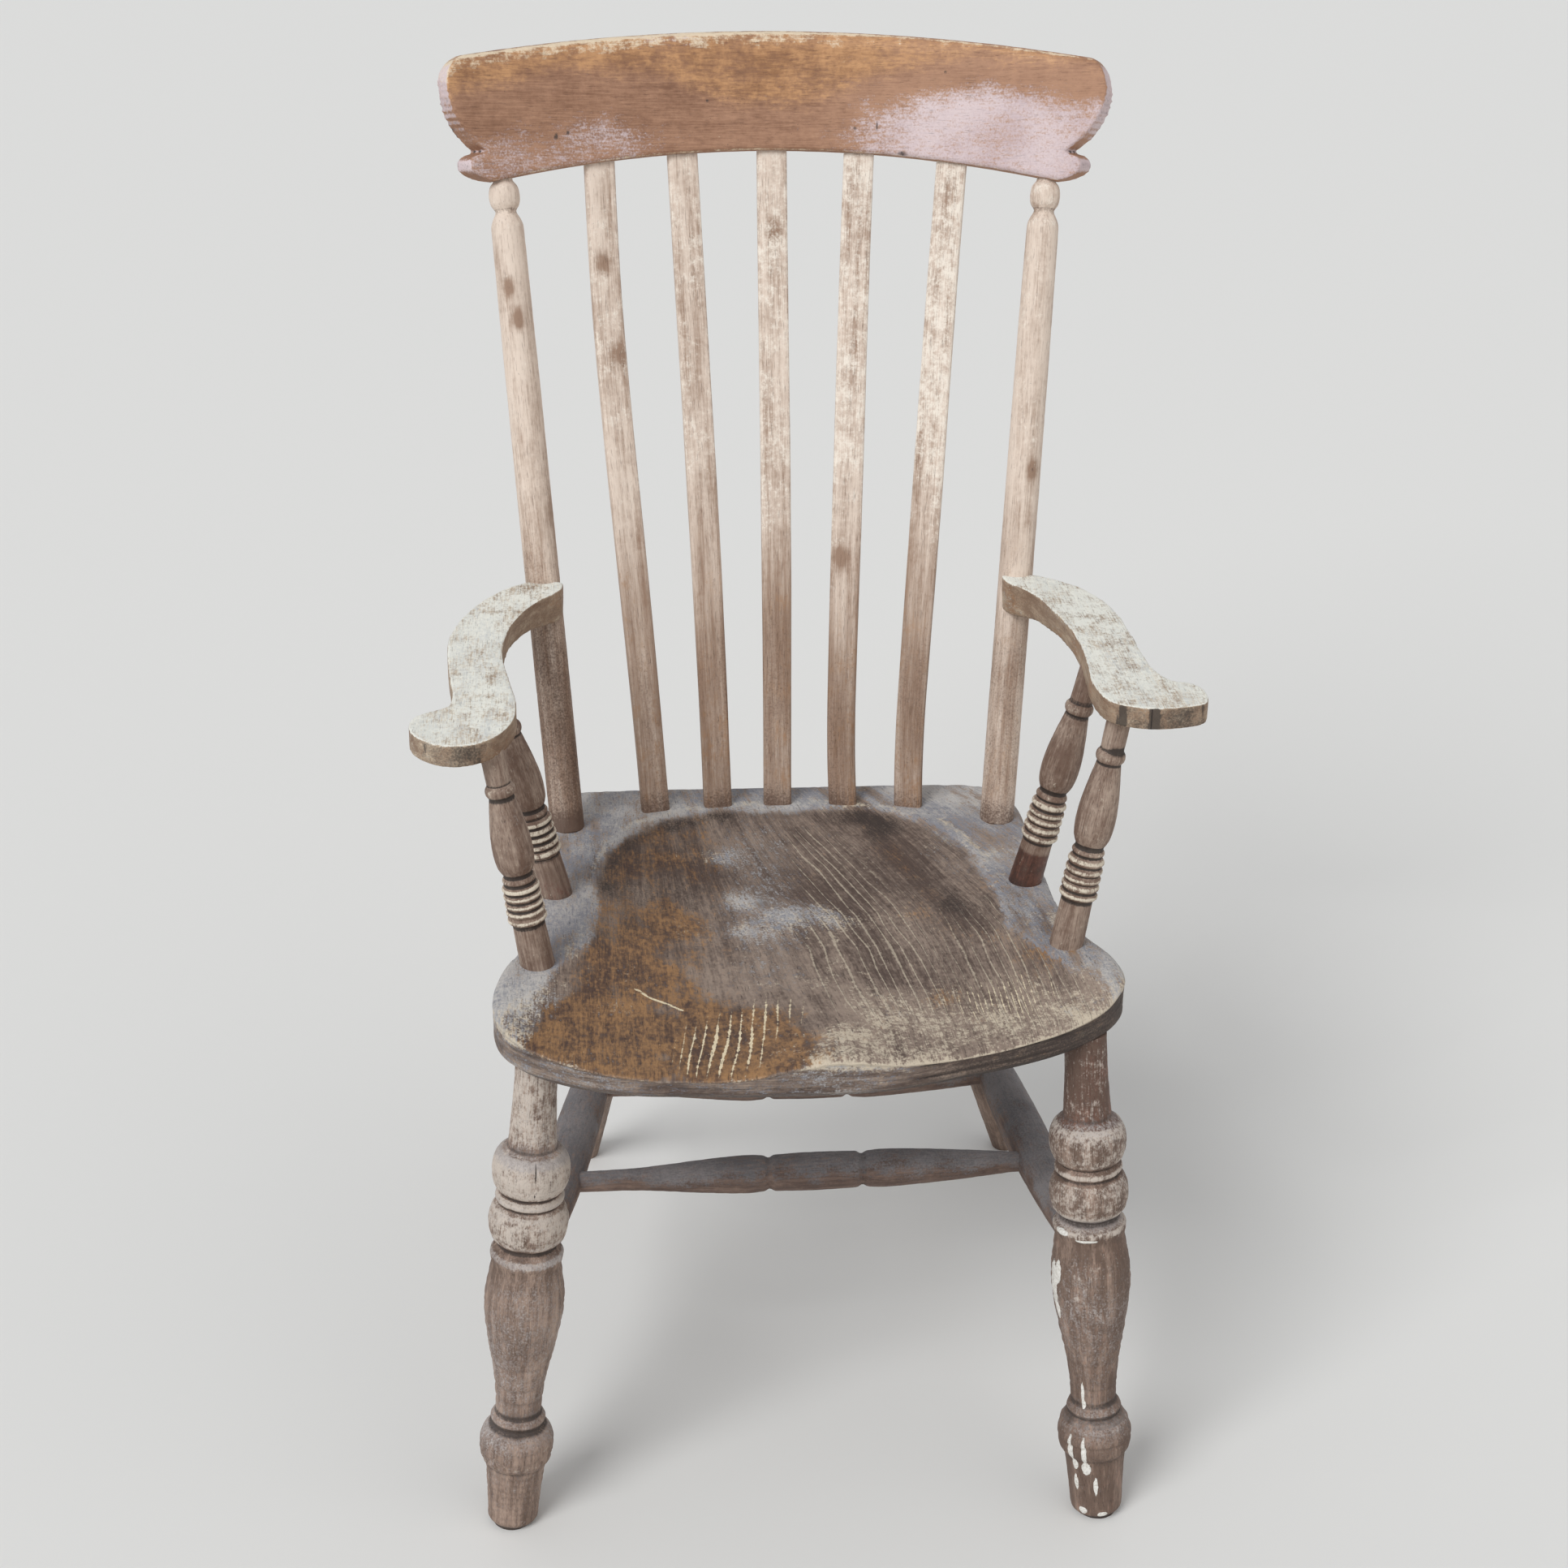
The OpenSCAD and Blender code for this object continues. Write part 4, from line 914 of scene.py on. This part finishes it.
def seatPiece():
    low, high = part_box("seat")
    half, depth = high.x / mm, (high.y - low.y) / mm
    heart = Vector((0, low.y + 0.51 * (high.y - low.y)))
    made, cut = cutThrough("seat", (0, 0, low.z + 0.5 * (high.z - low.z)), (0, 0, 1))
    loop = [point.xy - heart for point in outerLoop(cut)]
    made.free()
    turns = sorted((math.atan2(p.y, p.x), p.length) for p in loop)
    turns = [(turns[-1][0] - math.tau, turns[-1][1]), *turns, (turns[0][0] + math.tau, turns[0][1])]
    steps = 720
    reach = [between(turns, math.tau * k / steps - math.pi) - seat["within"] for k in range(steps + 1)]
    reach = soften(reach, 6)

    made = bmesh.new()
    bmesh.ops.create_grid(made, x_segments=seat["across"], y_segments=seat["deep"], size=1)
    marks, tops = Marks(), {}
    for vertex in made.verts:
        u, v = vertex.co.xy
        share = max(abs(u), abs(v))
        turn = (math.atan2(v * 0.93, u) + math.pi) / math.tau * steps
        whole = min(int(turn), steps - 1)
        length = reach[whole] + (reach[whole + 1] - reach[whole]) * (turn - whole)
        angle = turn / steps * math.tau - math.pi
        spot = heart + Vector((math.cos(angle), math.sin(angle))) * length * share
        x, d = spot.x / mm, (spot.y - low.y) / mm
        change, values, swept = seatTop(x, d, share, half, depth)
        roll = seat["roll"] * ease(share, 0.955, 1.03) ** 1.5 * 1.6
        chips = ease(share, 0.97, 1) * 1.2 * ease(ragged(Vector((x * mm, d * mm, 0)), 60, 21), 0.1, 0.45)
        vertex.co = (spot.x, spot.y, high.z + (change - roll - chips) * mm)
        marks.add((swept * mm, 0.1, d * mm), values)
    rim = [edge for edge in made.edges if edge.is_boundary]

    rows = seat["edgeRows"]
    for row in range(rows + 3):
        grown = bmesh.ops.extrude_edge_only(made, edges=rim)["geom"]
        rim = [part for part in grown if isinstance(part, bmesh.types.BMEdge) and part.is_boundary]
        for vertex in (part for part in grown if isinstance(part, bmesh.types.BMVert)):
            if row < rows:
                vertex.co.z += (low.z + seat["chamfer"] * mm - vertex.co.z) / (rows - row)
            else:
                inward = (heart - vertex.co.xy).normalized() * seat["chamfer"] * mm / 3
                vertex.co.xy += inward
                vertex.co.z -= seat["chamfer"] * mm / 3
    bmesh.ops.contextual_create(made, geom=rim)
    bmesh.ops.recalc_face_normals(made, faces=made.faces)
    made.normal_update()
    made.verts.ensure_lookup_table()
    for vertex in made.verts[len(marks.grain):]:
        point = vertex.co.copy()
        deepness = (high.z - point.z) / mm
        d = (point.y - low.y) / mm
        front = ease(d, 330, 120)
        along = point.x if abs(vertex.normal.y) > 0.45 else point.y
        drawn = Vector((point.z * 3, along * 0.5, 0.2))
        rough = ragged(drawn, 60, 12)
        upperSplit = bell(deepness - 13 + 2.2 * hills(point, 9, 4), 0.9)
        lowerSplit = bell(deepness - 23 + 2 * hills(point, 8, 9), 0.8)
        line = upperSplit * ease(hills(point, 14, 3), -0.1, 0.1)
        line += lowerSplit * ease(hills(point, 12, 7), 0, 0.15)
        right = ease(point.x, 0.02, 0.16)
        values = {
            "wear": 0.24 + 0.5 * ease(deepness, 14, 5) * front * (1 - 0.85 * right) + 0.35 * rough,
            "dust": 0.4 - 0.5 * right + 0.25 * rough,
            # the lowest part of the edge, towards the underside, painted darker as shade
            "grime": 0.3 + 0.35 * line + 0.4 * right + 0.3 * ease(deepness, 26, 33),
            "crack": 0.9 * line,
            "varnish": 0.25 * right,
            "tone": -0.1 + 0.6 * rough,
        }
        marks.add((point.z * 1.2, 0.4, along), values)
        push = (0.5 * min(rough, 0.4) - 0.8 * line - 0.4) * mm
        if point.z > low.z + 0.5 * mm:
            vertex.co = point + Vector((vertex.normal.x, vertex.normal.y, 0)) * push
    return finishPiece(made, "seat", "elm_seat", marks)


# ---- finishes, one for each slot of the record

# the dust colours also serve painted highlights, and the grime colour painted shade
looks = {
    "elm_seat": {
        "dark": (82, 66, 58), "pale": (152, 134, 120), "deep": (72, 50, 40),
        "varnish": (154, 114, 72), "bare": (206, 192, 170), "dust": (192, 188, 184),
        "dustCool": (136, 138, 146), "scratch": (236, 220, 186), "grime": (50, 40, 35),
        "pores": 0.6, "gloss": 0.26, "relief": 0.85, "stripe": 0.8, "grit": 1.0,
    },
    "beech_legs": {
        "dark": (100, 80, 68), "pale": (170, 146, 130), "deep": (84, 54, 42),
        "varnish": (142, 102, 84), "bare": (200, 188, 176), "dust": (186, 178, 174),
        "dustCool": (148, 138, 134), "scratch": (200, 186, 164), "grime": (54, 44, 39),
        "pores": 0.35, "gloss": 0.14, "relief": 0.8, "stripe": 0.9, "grit": 0.55,
    },
    "beech_stretchers": {
        "dark": (88, 70, 62), "pale": (140, 116, 102), "deep": (84, 54, 42),
        "varnish": (124, 84, 64), "bare": (162, 148, 140), "dust": (140, 136, 136),
        "dustCool": (108, 106, 108), "scratch": (196, 186, 172), "grime": (52, 44, 40),
        "pores": 0.3, "gloss": 0.12, "relief": 0.7, "stripe": 0.9, "grit": 0.7,
    },
    "beech_back": {
        "dark": (152, 124, 104), "pale": (222, 204, 188), "deep": (104, 76, 56),
        "varnish": (160, 122, 90), "bare": (240, 230, 216), "dust": (206, 196, 186),
        "dustCool": (190, 182, 178), "scratch": (232, 216, 192), "grime": (84, 62, 50),
        "pores": 0.4, "gloss": 0.1, "relief": 0.6, "stripe": 0.8, "grit": 0.55,
    },
    "varnished_crest": {
        "dark": (120, 82, 60), "pale": (176, 134, 107), "deep": (140, 96, 60),
        "varnish": (200, 150, 104), "bare": (230, 212, 184), "dust": (224, 208, 210),
        "dustCool": (204, 186, 190), "scratch": (226, 210, 184), "grime": (66, 56, 52),
        "pores": 0.3, "gloss": 0.26, "relief": 0.55, "stripe": 0.3, "grit": 0.6,
    },
    "beech_arms": {
        "dark": (134, 110, 90), "pale": (204, 186, 162), "deep": (106, 76, 54),
        "varnish": (152, 114, 82), "bare": (240, 240, 230), "dust": (216, 216, 208),
        "dustCool": (192, 194, 194), "scratch": (230, 222, 204), "grime": (62, 54, 48),
        "pores": 0.35, "gloss": 0.14, "relief": 0.6, "stripe": 0.7, "grit": 0.55,
    },
    "beech_spindles": {
        "dark": (108, 84, 70), "pale": (170, 150, 134), "deep": (60, 36, 28),
        "varnish": (104, 64, 50), "bare": (222, 210, 190), "dust": (172, 162, 154),
        "dustCool": (144, 136, 130), "scratch": (222, 206, 176), "grime": (34, 27, 24),
        "pores": 0.4, "gloss": 0.2, "relief": 0.7, "stripe": 0.8, "grit": 0.7,
    },
}
for look in looks.values():
    look |= {"crack": (36, 28, 24), "paint": (232, 229, 222), "paintDull": (198, 192, 182)}
    look |= {key: ink(*value) for key, value in look.items() if isinstance(value, tuple)}


def steelMaterial():
    tree = Tree(bpy.data.materials.new("screw_steel"))
    place = tree.node("ShaderNodeTexCoord", {}, {}, "Object")
    stain = tree.noise(place, (700, 700, 700), 3)
    colour = tree.mix(stain.step(0.45, 0.62), ink(150, 146, 140), ink(92, 74, 62))
    rough = 0.38 + stain.step(0.4, 0.6) * 0.3
    bump = tree.node("ShaderNodeBump", {}, {"Strength": 0.3, "Distance": 0.0003, "Height": stain})
    sockets = {"Base Color": colour, "Metallic": 0.9, "Roughness": rough, "Normal": bump}
    tree.finish(tree.node("ShaderNodeBsdfPrincipled", {}, sockets, "BSDF"))
    return tree.owner


woods = {slot: woodMaterial(slot, look) for slot, look in looks.items()}
for side in ("left", "right"):
    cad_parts["arm_screw_" + side].data.materials.clear()
    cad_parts["arm_screw_" + side].data.materials.append(steelMaterial())
print("materials made:", len(bpy.data.materials))

# ---- the chair, piece by piece

seatPiece()
for side in ("left", "right"):
    turn = 0 if side == "left" else 7
    turnedPiece(f"front_leg_{side}", "beech_legs", legs["front"] | {"seed": 1.3 + turn}, frontLegStory(side))
    turnedPiece(f"rear_leg_{side}", "beech_legs", legs["rear"] | {"seed": 2.1 + turn}, rearLegStory)
    turnedPiece(f"back_post_{side}", "beech_back", posts | {"seed": 3.7 + turn}, postStory(side))
    turnedPiece(
        f"side_stretcher_{side}", "beech_stretchers", stretchers["side"] | {"seed": 4.2 + turn},
        stretcherStory,
    )
    for place in ("front", "rear"):
        seed = {"seed": 5.5 + turn + (place == "rear")}
        turnedPiece(
            f"{place}_arm_spindle_{side}", "beech_spindles", spindles | seed, spindleStory(side, place)
        )
    armPiece(side)
for place in ("front", "rear"):
    seed = {"seed": 6.4 + (place == "rear")}
    turnedPiece(f"{place}_cross_stretcher", "beech_stretchers", stretchers["cross"] | seed, stretcherStory)
for number in range(1, 6):
    lathPiece(number)
crestPiece()

# ---- floor, light and camera

studio = {
    "floor": ink(226, 224, 220), "sky": (0.93, 0.96, 1.0, 1.0), "skyStrength": 0.55, "skySeen": 0.37,
    "key": {"strength": 1.9, "spread": 30, "from": (-1.6, -1.7, 2.0), "colour": (0.96, 0.98, 1.0)},
    "fill": {"strength": 0.35, "spread": 60, "from": (2.0, -1.4, 1.2), "colour": (1.0, 0.93, 0.85)},
}


def makeStudio():
    ground = bmesh.new()
    bmesh.ops.create_grid(ground, x_segments=1, y_segments=1, size=20)
    mesh = bpy.data.meshes.new("floor")
    ground.to_mesh(mesh)
    ground.free()
    floor = bpy.data.objects.new("floor", mesh)
    bpy.context.scene.collection.objects.link(floor)
    tree = Tree(bpy.data.materials.new("pale_floor"))
    sockets = {"Base Color": studio["floor"], "Roughness": 0.9}
    tree.finish(tree.node("ShaderNodeBsdfPrincipled", {}, sockets, "BSDF"))
    mesh.materials.append(tree.owner)
    for name in ("key", "fill"):
        plan = studio[name]
        lamp = bpy.data.lights.new(name, "SUN")
        lamp.energy = plan["strength"]
        lamp.angle = math.radians(plan["spread"])
        lamp.color = plan["colour"]
        light = bpy.data.objects.new(name, lamp)
        light.rotation_euler = Vector(plan["from"]).to_track_quat("Z", "Y").to_euler()
        bpy.context.scene.collection.objects.link(light)
    tree = Tree(bpy.data.worlds.new("soft_sky"))
    seen = tree.node("ShaderNodeLightPath", {}, {}, "Is Camera Ray")
    strength = studio["skyStrength"] + seen * studio["skySeen"]
    sockets = {"Color": studio["sky"], "Strength": strength}
    tree.finish(tree.node("ShaderNodeBackground", {}, sockets, "Background"), "World")
    bpy.context.scene.world = tree.owner


view = {
    "at": (-0.1672, -1.8906, 1.4395), "yaw": -0.0854, "down": 0.4509, "roll": 0.0186, "lens": 58.38,
    "shift": -0.00384,
}


def makeCamera():
    yaw, down, roll = view["yaw"], view["down"], view["roll"]
    ahead = Vector((-math.sin(yaw), math.cos(yaw), 0))
    right = Vector((math.cos(yaw), math.sin(yaw), 0))
    sight = ahead * math.cos(down) - Vector((0, 0, math.sin(down)))
    over = ahead * math.sin(down) + Vector((0, 0, math.cos(down)))
    turned = (right * math.cos(roll) + over * math.sin(roll), over * math.cos(roll) - right * math.sin(roll))
    lens = bpy.data.cameras.new("camera")
    lens.lens = view["lens"]
    lens.sensor_width = 36
    lens.shift_y = view["shift"]
    camera = bpy.data.objects.new("camera", lens)
    camera.matrix_world = Matrix.Translation(view["at"]) @ Matrix((*turned, -sight)).transposed().to_4x4()
    bpy.context.scene.collection.objects.link(camera)
    bpy.context.scene.camera = camera


makeStudio()
makeCamera()
bpy.context.scene.view_settings.view_transform = "Standard"
bpy.context.view_layer.update()
print("chair done")
